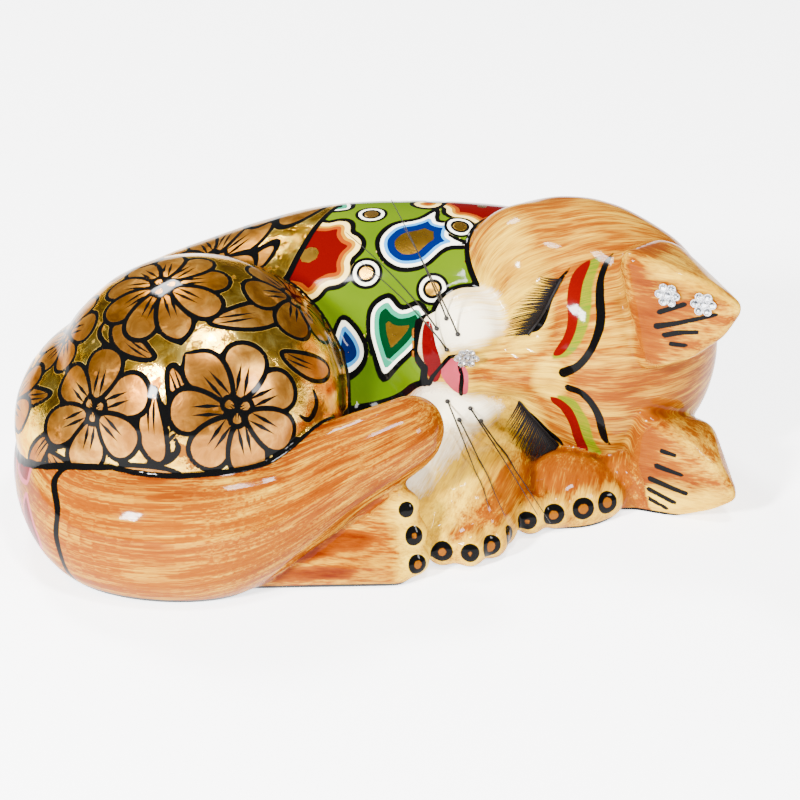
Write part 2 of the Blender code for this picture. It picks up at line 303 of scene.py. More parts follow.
EAR = (
    (45, 29, 79, (2.8, 2.8, 2.8)),
    (60, 31, 33, (4, 4, 4)),
    (56, 31, 54, (3.5, 3.5, 3.5)),
    (51, 30, 69, (3, 3, 3)),
    (14, 32, 41, (4, 4, 4)),
    (22, 32, 59, (3.5, 3.5, 3.5)),
    (33, 30, 72, (3, 3, 3)),
    (40, 4, 35, (15, 15, 17)),
    (36, 8, 54, (9, 9, 9)),
    (29, 14, 58, (8, 8, 8)),
)
EAR_HOLLOW = (
    (44, 38, 71, (2, 4, 2)),
    (50, 37, 56, (4, 5, 4)),
    (53, 37, 40, (5, 6, 5)),
    (29, 37, 62, (4, 5, 4)),
    (22, 38, 48, (5, 6, 5)),
    (38, 29, 48, (6, 5, 6)),
)


def ear(side):
    """One thick pointed ear with its hollow and two folds in it."""
    mesh = knead(hull(ear_balls(side, EAR), HEAD), 2.0, 3, "ear")
    mesh = carve(mesh, hull(ear_balls(side, EAR_HOLLOW), HEAD))
    folds = roll(((side * 47, 31, 41, 3), (side * 43, 30, 47, 2.4), (side * 41, 30, 54, 1.4)), 5)
    folds += roll(((side * 33, 30, 41, 3), (side * 33, 29, 48, 2.4), (side * 34, 30, 55, 1.4)), 5)
    return knead(join(mesh, clay=clay_of(folds, HEAD)), 1.5, 2, "ear")


def paws():
    clay = clay_of(NEAR_ARM + FAR_ARM + NEAR_TOES + FAR_TOES + HIND_TOES)
    return knead(join(mesh_of(hull(HEEL), "foot"), clay=clay), 1.6, 5, "paws")


clay = join(
    knead(clay_of(BACK + UNDERSIDE + HAUNCH + BELLY), 2.4, 14, "trunk"),
    knead(clay_of(TAIL), 2.4, 8, "tail"),
    skull(),
    ear(1),
    ear(-1),
    paws(),
)
body = join(knead(clay, CLAY, 5, "painted_cat"))
whole = body.verts[:] + body.edges[:] + body.faces[:]
bmesh.ops.bisect_plane(body, geom=whole, plane_no=(0, 0, -1), clear_outer=True)
bmesh.ops.holes_fill(body, edges=[e for e in body.edges if e.is_boundary])
BASE_SIDES = 40
for face in body.faces:
    face.smooth = len(face.verts) <= BASE_SIDES
    if not face.smooth:
        for edge in face.edges:
            edge.smooth = False
cat_mesh = mesh_of(body, "painted_cat")
count = len(cat_mesh.vertices)
print("clay", count, "points,", len(cat_mesh.polygons), "faces")

# %% [markdown]
# On the real cat a colour stops where one mass meets the next. Each point of the skin is
# told how far it is from every mass, in squares. The nearest mass says what part of the cat
# it belongs to, and where two masses are equally near lies a crease. The distances come
# from the balls themselves, so the skin needs no unwrapping.

# %% Parts of the skin


def read(items, what, width, kind=float):
    """What every item of a mesh holds, one row each."""
    values = np.empty(len(items) * width, kind)
    items.foreach_get(what, values)
    return values.reshape(-1, width)


P = read(cat_mesh.vertices, "co", 3) / GRID
PXZ = P[:, [0, 2]]


def to_frame(matrix, points):
    inverse = np.array(matrix.inverted())
    return (points * GRID) @ inverse[:3, :3].T / GRID + inverse[:3, 3] / GRID


H = to_frame(HEAD, P)
HXY = H[:, [0, 2]]


def away(points, balls):
    """How far points are from the nearest of some balls, below nothing inside."""
    best = np.full(len(points), 1e9)
    for matrix in balls:
        inverse = np.array(matrix.inverted())
        q = (points * GRID) @ inverse[:3, :3].T + inverse[:3, 3]
        k = np.linalg.norm(q, axis=1) + 1e-9
        slope = np.linalg.norm(q @ inverse[:3, :3], axis=1) / k
        best = np.minimum(best, (k - 1) / slope / GRID)
    return best


FLAPS, EAR_ROOTS = [], []
for side in (-1, 1):
    for x, y, z, r in ((45, 29, 76, 5), (50, 29, 62, 9), (45, 20, 50, 16), (28, 26, 50, 9)):
        FLAPS += ear_balls(side, [(x, y, z, (r, r, r))])
    EAR_ROOTS += ear_balls(side, [(38, 8, 40, (18, 18, 18))])
d_head = away(H, SKULL + FLAPS + EAR_ROOTS + MUZZLE)
mouth = np.minimum.reduce([H[:, 1] - 22, 18 - np.abs(H[:, 0] - 9), -36 - H[:, 2], H[:, 2] + 58])
d_head = d_head - 10 * np.clip(mouth / 5, 0, 1)
d_tail = away(P, TAIL)
d_haunch = away(P, HAUNCH)
d_back = away(P, BACK + UNDERSIDE + BELLY[:1] + BELLY[2:4])
d_near = away(P, NEAR_ARM + NEAR_TOES)
d_far = away(P, FAR_ARM + FAR_TOES + BELLY[4:])
SOLE = roll(((-62, -60, 8, 12), (-20, -56, 14, 13), (4, -52, 18, 12)))
d_foot = away(P, HEEL + HIND_TOES + SOLE)
PARTS = ("head", "tail", "haunch", "back", "near", "far", "foot")
D = np.stack([d_head, d_tail, d_haunch, d_back, d_near, d_far, d_foot], axis=1)
part = D.argmin(axis=1)
ranked = np.sort(D, axis=1)
crease = ranked[:, 1] - ranked[:, 0]
d_fur = np.minimum.reduce([d_head, d_tail, d_near, d_far, d_foot])
d_painted = np.minimum(d_haunch, d_back)
painted = d_painted - d_fur
face_front = (H[:, 1] > 28) & (H[:, 2] > -40) & (np.abs(H[:, 0]) < 32)
painted = np.where(face_front, 9, painted)
chest = (P[:, 0] > -24) & (P[:, 1] < 44)
CHEST_TOP = 55
painted = np.where(chest, np.maximum(painted, CHEST_TOP - P[:, 2]), painted)
cloth_parts = (PARTS.index("haunch"), PARTS.index("back"))
part[chest & (P[:, 2] < CHEST_TOP) & np.isin(part, cloth_parts)] = PARTS.index("near")
on_head, on_tail, on_haunch, on_back, on_near, on_far, on_foot = (part == i for i in range(7))
ends = read(cat_mesh.edges, "vertices", 2, np.int32)
degree = np.bincount(ends.ravel(), minlength=count)
upright = read(cat_mesh.vertex_normals, "vector", 3, np.float32)


def evened(values, rounds):
    """Values after each point has been averaged with its neighbours for some rounds."""
    a, b = ends.T
    for _ in range(rounds):
        total = np.bincount(a, values[b], count) + np.bincount(b, values[a], count)
        values = (values + total / degree) / 2
    return values


ridge = sum((P[:, k] - evened(P[:, k], 24)) * upright[:, k] for k in range(3))
print("ridges", np.round(np.percentile(ridge, (2, 25, 50, 75, 98)), 2))
print("parts", {name: int((part == i).sum()) for i, name in enumerate(PARTS)})

# %% [markdown]
# The real cat is painted by hand. An image wrapped round it would blur close up, so the
# painter has charts instead. A chart flattens a part of the skin to millimetres, and shapes
# are drawn on it as outlines. What is kept at each point is its distance to an outline,
# which a material can cut off sharply, also between the points.

# %% Chart tools
FAR = 30.0


def segments_off(points, path):
    """Distance to each stretch of an open or closed path, and how far along it."""
    a, b = path[:-1], path[1:]
    for p, q in zip(a, b):
        along = q[:2] - p[:2]
        t = ((points - p[:2]) @ along) / max(along @ along, 1e-9)
        t = np.clip(t, 0, 1)
        yield np.linalg.norm(points - p[:2] - t[:, None] * along, axis=1), t, p, q


def stroke(points, rows, steps=5):
    """Distance to a brush stroke whose rows are x, y and half its width there."""
    path = np.array([tuple(p) for p in smooth_path(rows, steps)])
    best = np.full(len(points), 1e9)
    for off, t, p, q in segments_off(points, path):
        best = np.minimum(best, off - (p[2] + (q[2] - p[2]) * t))
    return best


def closed(rows, steps=4):
    rows = [tuple(r) for r in rows]
    path = smooth_path(rows[-2:] + rows + rows[:3], steps)
    return np.array([tuple(p) for p in path])[2 * steps : (2 + len(rows)) * steps + 1]


def patch(points, outline):
    """Distance to a closed outline, below nothing inside it."""
    best = np.full(len(points), 1e9)
    inside = np.zeros(len(points), bool)
    x, y = points[:, 0], points[:, 1]
    for off, t, p, q in segments_off(points, outline):
        best = np.minimum(best, off)
        if p[1] != q[1]:
            over = (p[1] > y) != (q[1] > y)
            inside ^= over & (x < (q[0] - p[0]) * (y - p[1]) / (q[1] - p[1]) + p[0])
    return np.where(inside, -best, best)


def lay(points, reach, shape, line):
    """Draws a shape over a chart's lines. Says which points it covers, and how deep."""
    near = np.abs(points).max(axis=1) < reach
    d = patch(points[near], np.vstack([shape, shape[:1]]))
    line[near] = np.where(d < 0, -d, np.minimum(line[near], np.abs(d)))
    covered = np.zeros(len(points), bool)
    covered[near] = d < 0
    return covered, -d[d < 0]


def local(points, centre, turn):
    """Points in the frame of a motif, turned by degrees."""
    c, s = math.cos(math.radians(turn)), math.sin(math.radians(turn))
    x, y = (points - np.array(centre)).T
    return np.stack([x * c + y * s, y * c - x * s], 1)


def on(mask, values):
    """Values known on a part of the skin, and far away on the rest."""
    full = np.full(count, FAR)
    full[mask] = values
    return full


def patches(mask, points, outlines):
    return on(mask, np.min([patch(points, closed(rows)) for rows in outlines], axis=0))


def strokes(mask, points, lines):
    return on(mask, np.min([stroke(points, rows) for rows in lines], axis=0))


# %% [markdown]
# Face paint, on the plane of the face: side and crown in squares. The face is nearly flat,
# so a plane hardly bends the drawing. The closed eyes carry a red and a lime stripe and a
# black brow, the muzzle is white and the nose pink.

# %% Face chart
front = (H[:, 1] > 8) & on_head
face_xy = HXY[front]
RED = [
    ((49, 11), (42, 10.6), (34, 11.4), (28, 11.8), (23, 11.2), (17, 8.8), (13.6, 5.8), (13, 2.5),
     (17, 4.2), (21, 6.3), (26, 7.4), (30.5, 7.0), (35.5, 5.6), (42, 4.9), (46.5, 6.6)),
    ((-6.7, 1.5), (-6.9, 6.1), (-10.4, 11.2), (-17.3, 13.7), (-25.4, 14.6), (-34.9, 15.6),
     (-39.4, 18.8), (-37.1, 11.6), (-29.5, 10.2), (-19.7, 9.4), (-12.7, 6.4), (-9.5, 2.6)),
]
LIME = [
    ((49.5, 14.4), (40.6, 15), (34.7, 16.5), (27.4, 16.6), (19.9, 14.5), (14, 9.8), (11.2, 2.6),
     (14, 2.6), (18, 7), (26, 9.4), (36, 8.6), (47, 9)),
    ((-5.2, 4.6), (-5.0, 12.5), (-10.4, 16.6), (-17.6, 18.9), (-27.5, 19.4), (-38.5, 20.4),
     (-38, 16), (-28, 12.6), (-17, 11.4), (-10, 6.8)),
]
red = patches(front, face_xy, RED)
lime = patches(front, face_xy, LIME)
PUFF = [
    ((28.7, -50), (33, -45.6), (33.9, -38), (33.2, -29), (29.1, -23.2), (23.3, -20.6), (19, -21.8),
     (16.6, -26), (15.4, -30), (14, -35.4), (12.5, -42), (6, -47), (14, -52), (22, -53)),
    ((-3.4, -47), (-5.2, -39.6), (-8, -32.6), (-11.8, -25.5), (-14.5, -21.5), (-19.8, -22.6),
     (-24, -28), (-25, -34.4), (-24, -41), (-20, -47), (-12, -51), (-4, -52)),
]
cheeks = (H[:, 1] > 8) & (on_head | on_near | on_far)
white = patches(cheeks, HXY[cheeks], PUFF)
NOSE = (
    (3.1, -43.6), (8.9, -39), (8.6, -34.8), (3.6, -30.9), (-3.4, -31), (-7.2, -32.5),
    (-7.4, -36), (-4, -40.6),
)
LIP = (
    (23, -51.5), (21.6, -48), (14.3, -45.8), (7.1, -43.8), (1.1, -43.4), (-2.6, -45),
    (0, -47.5), (8, -50), (16, -51.5),
)
pink = patches(front, face_xy, [NOSE])
lip = patches(front, face_xy, [LIP])
INK = [
    ((6.2, 7.6, 2.1), (10.7, 14.2, 1.8), (17.6, 18.9, 1.7), (25.1, 21.1, 1.8), (31, 21.1, 1.8),
     (37.2, 18.9, 1.7), (42.8, 17.1, 1.5), (47.7, 17.2, 1.1), (51.5, 18.8, 0.1)),
    ((-0.3, 10, 1.5), (-1.3, 15.7, 1.6), (-6.3, 20.4, 1.7), (-13.3, 23, 1.7), (-21.3, 23.5, 1.6),
     (-27.3, 23.9, 1.1), (-31.6, 25.4, 0.1)),
    ((20, -8.2, 0.8), (22.5, -6.2, 1.5), (29.1, -3.2, 1.5), (37.2, -1.2, 1.3), (41.4, 0.4, 1.0),
     (47.5, 4.4, 0.1)),
    ((-16.5, -10.2, 0.8), (-18.6, -8, 1.4), (-21.7, -5.2, 1.5), (-26, -2, 1.5),
     (-30.9, 2.1, 1.3), (-37.5, 5.6, 0.1)),
    ((3.4, -44.2, 0.8), (9.6, -39.4, 0.9), (11.4, -34.6, 0.8)),
    ((6.4, -34.9, 0.9), (1.1, -33.4, 1.0), (-7.8, -34.9, 0.9)),
    ((3.4, -44.2, 0.7), (0, -46.5, 0.9), (-3.2, -47.4, 0.8)),
    ((33, -46.8, 0.5), (30.5, -51.5, 1.1), (22.4, -53.6, 1.3), (9, -53.5, 1.3), (-1, -52.5, 1.3),
     (-12.7, -53, 1.2), (-23, -47, 1.1)),
]
DASHES = [
    ((39, 47.2, 1.2), (44.4, 57.9, 1.1)),
    ((32.4, 46.3, 1.4), (36.6, 58.4, 1.1), (41.5, 71.2, 0.9)),
    ((28.9, 49.7, 1.2), (31.3, 56.5, 1.2), (32.5, 63.5, 1.1)),
    ((25.4, 52.6, 1.1), (25.8, 59, 1.1)),
    ((-26.6, 49.4, 1.2), (-27.6, 55.4, 1.1)),
    ((-34.6, 47.2, 1.4), (-36.8, 58.2, 1.1)),
    ((-41.6, 44.3, 1.4), (-45.8, 60, 1.1)),
    ((-46.9, 43.5, 1.2), (-51.4, 55, 1.1)),
    ((-51.6, 43.5, 1.1), (-55, 51.6, 0.9)),
]
inner_ear = on_head & (H[:, 2] > 38) & (H[:, 1] > 22)
ink = np.minimum(strokes(front, face_xy, INK), strokes(inner_ear, HXY[inner_ear], DASHES))
print("face paint", int(front.sum()), "points")

# %% [markdown]
# Toes. Each toe has an oval of black with an ochre heart. Its distance is measured round the
# point of the skin that the oval sits on, so that it wraps over the toe.

# %% Toe chart
OVALS = [
    ((25.7, -54, 9), 4.4), ((37.2, -55.5, 9), 4.4), ((46, -48.4, 9), 4.2),
    ((52.6, -38.4, 9), 3.8), ((61.6, -27.5, 9), 4.2), ((73.1, -22, 9.4), 4.4),
    ((85.6, -17, 10), 4.4), ((96.2, -11.8, 10), 4.3), ((11.3, -60.4, 32.6), 3.6),
    ((14.4, -61.8, 21.4), 3.8), ((15.8, -64.6, 9.4), 3.9),
]
toe = np.full(count, FAR)
for centre, radius in OVALS:
    q = P - np.array(centre)
    q[:, 2] *= 0.9
    toe = np.minimum(toe, np.linalg.norm(q, axis=1) - radius)

# %% [markdown]
# The haunch is gilded and covered with outlined blossoms and leaves. It is nearly a ball,
# so its chart spreads the skin round its middle like an orange peel. Blossoms and leaves
# are laid on it back to front, and each petal keeps its own coordinates. Behind, where the
# peel is stretched, the last few are laid on x and z.

# %% Haunch chart
GOLD_EDGE = np.array((0.9, -0.36, 0.0))
plane = P @ (GOLD_EDGE / np.linalg.norm(GOLD_EDGE)) + 44.5
gold = np.minimum(d_haunch - d_back, plane)
PEEL_CENTRE = np.array((-78.0, -8.0, 56.0))
PEEL_AXIS = np.array((0.0, -0.72, 0.69))
PEEL_RADIUS = 62
right = np.array((1.0, 0.0, 0.0))
down = np.cross(PEEL_AXIS, right)
q = P - PEEL_CENTRE
q /= np.linalg.norm(q, axis=1)[:, None]
angle = np.arccos(np.clip(q @ PEEL_AXIS, -1, 1))
spread = np.stack([q @ right, q @ down], 1)
spread /= np.linalg.norm(spread, axis=1)[:, None] + 1e-9
leaf = (painted < 4) & (gold < 4)
G = (spread * (angle * PEEL_RADIUS)[:, None])[leaf]
g_line = np.full(len(G), FAR)
g_petal = np.zeros((len(G), 3))


def petal(centre, turn, length, width, wave=0.0):
    """Lays one petal over what is there: base at the centre, tip a length away."""
    q = local(G, centre, turn)
    t = np.linspace(0, 2 * math.pi, 28, endpoint=False)
    x = length * (0.5 - 0.5 * np.cos(t))
    y = 0.5 * width * np.sin(t) * (0.55 + 0.65 * x / length)
    y = y + wave * length * (x / length) ** 2
    inside, _ = lay(q, length * 1.6, np.stack([x, y], 1), g_line)
    g_petal[inside, 0] = q[inside, 0] / length
    bend = wave * length * np.clip(q[inside, 0] / length, 0, 1) ** 2
    g_petal[inside, 1] = (q[inside, 1] - bend) / width
    g_petal[inside, 2] = 1


def blossom(x, y, petals, length, width, turn):
    for i in range(petals):
        a = turn + 360 * i / petals
        root = (x + 4 * math.cos(math.radians(a)), y + 4 * math.sin(math.radians(a)))
        petal(root, a, length, width)
    for a in (0, 120, 240):
        petal((x, y), turn + a, 6.5, 6)


for row in (
    ((-66, -8), 175, 30, 13, -0.25),
    ((-60, -26), 205, 28, 12, 0.2),
    ((66, 34), 40, 30, 13, 0.2),
    ((20, 66), 60, 30, 14, -0.25),
    ((-28, 64), 120, 30, 14, 0.25),
    ((-80, 34), 150, 32, 14, 0.3),
    ((0, 100), 90, 34, 15, 0.2),
    ((60, 78), 30, 32, 14, -0.2),
    ((-60, 90), 130, 32, 14, 0.2),
    ((92, 8), -10, 30, 14, 0.2),
    ((-12, -14), -100, 30, 14, 0.2),
    ((-6, -6), -60, 26, 12, -0.2),
    ((-12, -2), 150, 26, 12, -0.25),
    ((10, 14), 10, 34, 15, 0.2),
    ((40, 4), -15, 28, 14, 0.25),
    ((-66, -34), -60, 30, 14, 0.25),
    ((-30, -46), -25, 30, 13, 0.2),
    ((40, -40), 20, 26, 13, -0.2),
):
    petal(*row)
for row in (
    (-40, -20, 6, 23, 20, 12),
    (22, -22, 7, 24, 19, 30),
    (-10, 34, 9, 25, 16.5, 8),
    (-64, 26, 6, 20, 18, 44),
    (50, 40, 6, 23, 20, 20),
    (-34, 78, 7, 22, 17, 0),
    (12, 92, 7, 23, 18, 20),
    (-100, 0, 6, 22, 18, 20),
    (-84, 66, 7, 22, 18, 5),
    (-50, 118, 7, 24, 19, 5),
    (50, 120, 7, 24, 19, 5),
):
    blossom(*row)
front_chart = G
G = np.where((P[leaf, 1] > 40)[:, None], PXZ[leaf], 1e3)
petal((-56, 16), 60, 26, 12, 0.2)
petal((-92, 20), 250, 24, 11, 0.2)
blossom(-72, 24, 7, 19, 15, 10)
blossom(-104, 40, 6, 18, 15, 0)
G = front_chart
TENDRILS = (
    ((-4, -50, 0.2), (6, -56, 1.4), (20, -57, 1.6), (34, -52, 1.0), (38, -46, 0.2)),
    ((-70, -40, 0.2), (-58, -50, 1.4), (-42, -54, 1.5), (-30, -52, 0.3)),
    ((48, -20, 0.3), (56, -22, 1.4), (60, -14, 1.5), (56, -6, 0.3)),
    ((-24, 4, 0.3), (-34, 8, 1.3), (-38, 16, 1.4), (-32, 22, 0.4)),
    ((14, 18, 0.3), (24, 22, 1.2), (28, 32, 1.3), (22, 38, 0.3)),
    ((-6, -30, 0.3), (-2, -38, 1.3), (-8, -44, 1.3), (-16, -42, 0.3)),
)
free = g_petal[:, 2] < 0.5
for rows in TENDRILS:
    g_line[free] = np.minimum(g_line[free], stroke(G[free], rows) + 1.15)
line = on(leaf, g_line)
petal_at = np.zeros((count, 3))
petal_at[leaf] = g_petal
print("haunch", len(G), "points")

# %% [markdown]
# The back is a long roll, so its chart unrolls it: along it, and up from the tail over the
# top and down behind. Folk motifs in rings of colour are laid on a lime ground.

# %% Back chart
ys = np.interp(P[:, 0], (-94, -55, -10, 30, 62, 92), (26, 47, 64, 70, 68, 60))
over = np.arctan2(P[:, 2] - 52, ys - P[:, 1])
over = np.where(over < -2.2, over + 2 * math.pi, over)
BACK_RADIUS = 55
panel = (painted < 4) & (gold > -4)
B = np.stack([P[:, 0], over * BACK_RADIUS], 1)[panel]
b_line = np.full(len(B), FAR)
b_band = np.zeros(len(B))
b_kind = np.zeros(len(B))


def motif(kind, shape, x, y, turn, size):
    """Lays one outlined shape of a kind over what is there."""
    inside, depth = lay(local(B, (x, y), turn), size * 2.2, shape * size, b_line)
    b_band[inside], b_kind[inside] = depth, kind


t = np.linspace(0, 2 * math.pi, 72, endpoint=False)
SCALLOP = np.stack([np.cos(t), np.sin(t)], 1) * (0.84 + 0.16 * np.abs(np.cos(4 * t)))[:, None]
DROP = np.stack([np.cos(t), 0.62 * np.sin(t) * (1 - 0.45 * np.cos(t))], 1)
HALF_BUD = ((-0.8, 0.5), (-0.25, 0.74), (0.4, 0.62), (1, 0.8), (0.72, 0.3))
HALF_HEART = ((-0.55, 0.42), (0, 0.72), (0.55, 0.78), (0.92, 0.42))


def mirrored(first, half, last):
    """A closed outline, the same on both sides of its middle line."""
    return closed((first, *half, last, *((x, -y) for x, y in reversed(half))))[:-1]


BUD = mirrored((-1, 0), HALF_BUD, (1.1, 0))
HEART = mirrored((-1, 0), HALF_HEART, (0.7, 0))
WARM, GREEN, BLUE = 1, 2, 3
MOTIFS = (
    (WARM, SCALLOP, (
        (-30, 64, 0, 23), (44, 96, 0, 21), (4, 150, 0, 25), (66, 168, 0, 24), (-50, 196, 0, 24),
        (112, 140, 0, 22), (24, 222, 0, 24), (96, 222, 0, 24), (-50, 134, 0, 20),
    )),
    (GREEN, HEART, (
        (6, 24, 74, 16), (-24, 104, 130, 17), (36, 130, 40, 17), (-28, 164, 210, 18),
        (36, 186, 80, 18), (92, 190, 20, 17), (70, 216, 150, 16), (-10, 216, 70, 16),
    )),
    (BLUE, BUD, (
        (16, 66, 30, 18), (-10, 122, 150, 17), (78, 128, 100, 17), (-16, 188, 60, 17),
        (110, 178, 80, 17), (58, 206, 200, 15),
    )),
    (BLUE, DROP, ((-14, 22, 100, 11),)),
    (WARM, DROP, ((22, 98, 60, 10),)),
    (BLUE, DROP, ((26, 106, 60, 9),)),
)
for flavour, shape, rows in MOTIFS:
    for row in rows:
        motif(flavour, shape, *row)
DOTS = (
    (-6, 50), (-4, 84), (22, 42), (34, 74), (8, 106), (20, 118), (54, 124), (60, 142),
    (-18, 142), (16, 178), (56, 190), (90, 158), (92, 174), (-34, 214), (-58, 168), (44, 216),
    (-40, 36), (4, 200), (80, 104),
)
dot = on(panel, np.min([np.linalg.norm(B - np.array(place), axis=1) for place in DOTS], axis=0))
back_line = on(panel, b_line)
band, kind = np.zeros(count), np.zeros(count)
band[panel], kind[panel] = b_band, b_kind
print("back", len(B), "points")

# %% [markdown]
# Fur is brushed along the tail, out from the muzzle over the head, and down the arms. A
# noise stretched along one axis would run the same way everywhere, so each point keeps
# where it is across the strokes, and how far along.

# %% Brush chart
track = np.array([tuple(p) for p in smooth_path(TAIL_PATH, 12)])
steps = np.linalg.norm(np.diff(track[:, :3], axis=0), axis=1)
run = np.concatenate([[0], np.cumsum(steps)])
off = np.full(count, 1e9)
across = np.zeros((count, 3))
along = np.zeros(count)
for i in range(len(track) - 1):
    a, b = track[i, :3], track[i + 1, :3]
    way = (b - a) / steps[i]
    t = np.clip(((P - a) @ way) / steps[i], 0, 1)
    rest = P - (a + t[:, None] * (b - a))
    d = np.linalg.norm(rest, axis=1) - (track[i, 3] + (track[i + 1, 3] - track[i, 3]) * t)
    closer = d < off
    side = np.cross(way, (0, 0, 1.0))
    side /= np.linalg.norm(side)
    top = np.cross(side, way)
    r = np.linalg.norm(rest[closer], axis=1)[:, None] + 1e-9
    pair = np.stack([rest[closer] @ side, rest[closer] @ top, np.zeros(closer.sum())], 1) / r * 30
    across[closer] = pair
    along[closer] = run[i] + t[closer] * steps[i]
    off[closer] = d[closer]
pole = np.array((0.02, 0.62, -0.78))
hub = H[on_head] - np.array((1.0, -2.0, 2.0))
hub /= np.linalg.norm(hub, axis=1)[:, None]
rise = hub @ pole
rays = hub - rise[:, None] * pole
is_ear = on_head & (away(H, FLAPS) < away(H, SKULL))
across[on_head] = rays / (np.linalg.norm(rays, axis=1)[:, None] + 0.05) * 66
along[on_head] = np.arccos(np.clip(rise, -1, 1)) * 62
across[is_ear] = H[is_ear] * np.array((0.9, 0.9, 0.1))
along[is_ear] = H[is_ear, 2]
for here, way in (
    (on_near, (-0.32, -0.94, -0.12)),
    (on_far, (-0.2, -0.85, -0.5)),
    (on_foot, (0.99, -0.08, -0.05)),
    (on_haunch | on_back, (1, 0, 0)),
):
    way = np.array(way) / np.linalg.norm(way)
    along[here] = P[here] @ way
    across[here] = P[here] - along[here][:, None] * way

# %% [markdown]
# Cream and orange run into each other on the real fur, so neither has an outline. Both are
# kept as amounts that soft ovals and creases add to. The fur is creamiest round the muzzle,
# the eyes and the toes, and least on the tail, the crown and the backs of the arms. The
# second amount deepens the orange. In creases, hollows and ear folds, high between the paws
# and under the head it is painted shade, and it grows towards the back of the head. On the
# tail, deepest at its tip, and in the red patches of the hind foot it is the real paint. The
# cream also holds painted light: more on ridges, less in hollows.

# %% Cream and shade


def soft(value, low, high):
    t = np.clip((value - low) / (high - low), 0, 1)
    return t * t * (3 - 2 * t)


def glow(points, centre, radii):
    """One in the middle of an oval, and fading to nothing round it."""
    reach = np.linalg.norm((points - np.array(centre)) / np.array(radii), axis=1)
    return 1 - soft(reach, 0.55, 1.25)


cream_and_painted_light = np.full(count, -0.1)
cream_and_painted_light[on_tail] = -0.42
cream_and_painted_light[on_head] = 0.22
for centre, radii, weight in (
    ((30, -12), (24, 14), 0.8),
    ((-24, -14), (22, 15), 0.8),
    ((2, 2), (11, 9), 0.9),
    ((24, -34), (22, 22), 0.8),
    ((-20, -34), (24, 22), 0.8),
    ((24, 28), (24, 12), 0.35),
    ((-24, 28), (24, 10), 0.35),
    ((44, -24), (18, 16), 0.6),
    ((54, 58), (11, 22), 0.6),
    ((-50, 58), (13, 24), 0.8),
):
    cream_and_painted_light[front] = np.maximum(cream_and_painted_light[front], glow(face_xy, centre, radii) * weight)
cream_and_painted_light = np.maximum(cream_and_painted_light, 0.7 * (1 - soft(toe, 0.0, 9)) * ~(on_head | on_tail))
cream_and_painted_light = np.maximum(cream_and_painted_light, on_near * glow(PXZ, (22, 20), (8, 22)) * 0.7)
cheek = glow(HXY, (-24, -24), (20, 18)) * (H[:, 1] > 0) * (on_near | on_far)
cream_and_painted_light = np.maximum(cream_and_painted_light, cheek * 0.8)
# Painted light and shade: more cream on ridges and less in hollows, over the real cream of the
# rims.
cream_and_painted_light = cream_and_painted_light + np.clip(ridge - 0.7, -0.4, 1.0) * 0.4 * ~on_tail
# Painted shade: the orange deepens where two masses meet in a crease.
painted_shade_and_deep_orange = (1 - soft(crease, 0, 12)) * 0.6
behind = 0.5 * soft(along[on_head], 100, 160)
# On the head: painted shade in its creases, the head lighter overall, and darker towards the back
# of the head.
painted_shade_and_deep_orange[on_head] = 0.4 * (1 - soft(crease[on_head], 0, 7)) - 0.3 + behind
# Painted shade high on the near arm, between the paws under the chin.
painted_shade_and_deep_orange = np.maximum(painted_shade_and_deep_orange, on_near * glow(PXZ, (36, 30), (12, 12)) * 0.7)
# Painted shade on the top of the far arm, under the head.
painted_shade_and_deep_orange = np.maximum(painted_shade_and_deep_orange, on_far * soft(P[:, 2], 10, 22) * 0.4)
painted_shade_and_deep_orange = painted_shade_and_deep_orange * (1 - cheek)
# Painted shade along the folds of the ears: darker and less cream there.
FOLDS = (
    ((59, 36, 1.0), (46, 41, 2.0), (30, 42, 2.0), (18, 43, 1.0)),
    ((50, 42, 1.0), (47, 52, 1.6), (45, 62, 0.6)),
    ((-14, 43, 1.0), (-28, 41, 2.0), (-44, 38, 2.0), (-58, 34, 1.0)),
    ((-40, 42, 1.0), (-40, 52, 1.6), (-42, 62, 0.6)),
)
fold = np.min([stroke(face_xy, rows) for rows in FOLDS], axis=0)
painted_shade_and_deep_orange[front] = painted_shade_and_deep_orange[front] + 0.7 * (1 - soft(fold, -1, 8))
cream_and_painted_light[front] = cream_and_painted_light[front] - 0.35 * (1 - soft(fold, -1, 8))
cream_and_painted_light[on_foot] = cream_and_painted_light[on_foot] + 0.25
# The red patches painted on the real hind foot, which also take cream away.
for centre, radii in (
    ((-20, 30), (10, 5)),
    ((-14, 21), (12, 4)),
    ((-32, 17), (14, 4)),
    ((-46, 9), (16, 4)),
    ((-24, 8), (14, 3)),
):
    spot = glow(PXZ[on_foot], centre, radii)
    painted_shade_and_deep_orange[on_foot] = np.maximum(painted_shade_and_deep_orange[on_foot], spot * 1.8)
    cream_and_painted_light[on_foot] = cream_and_painted_light[on_foot] - spot * 0.8
# The tail's own deeper orange, deepest towards its tip.
painted_shade_and_deep_orange[on_tail] = painted_shade_and_deep_orange[on_tail] + 0.2 + 0.5 * soft(along[on_tail], 165, 225)
# Painted shade in the hollows of the skin.
painted_shade_and_deep_orange = painted_shade_and_deep_orange + np.clip(0.1 - ridge, 0, 1.2) * 0.6

# %% [markdown]
# Behind the seam, at the turn of the tail, red drops are painted on the side-on chart: y and z
# in squares. They keep clear of the seam's own line.

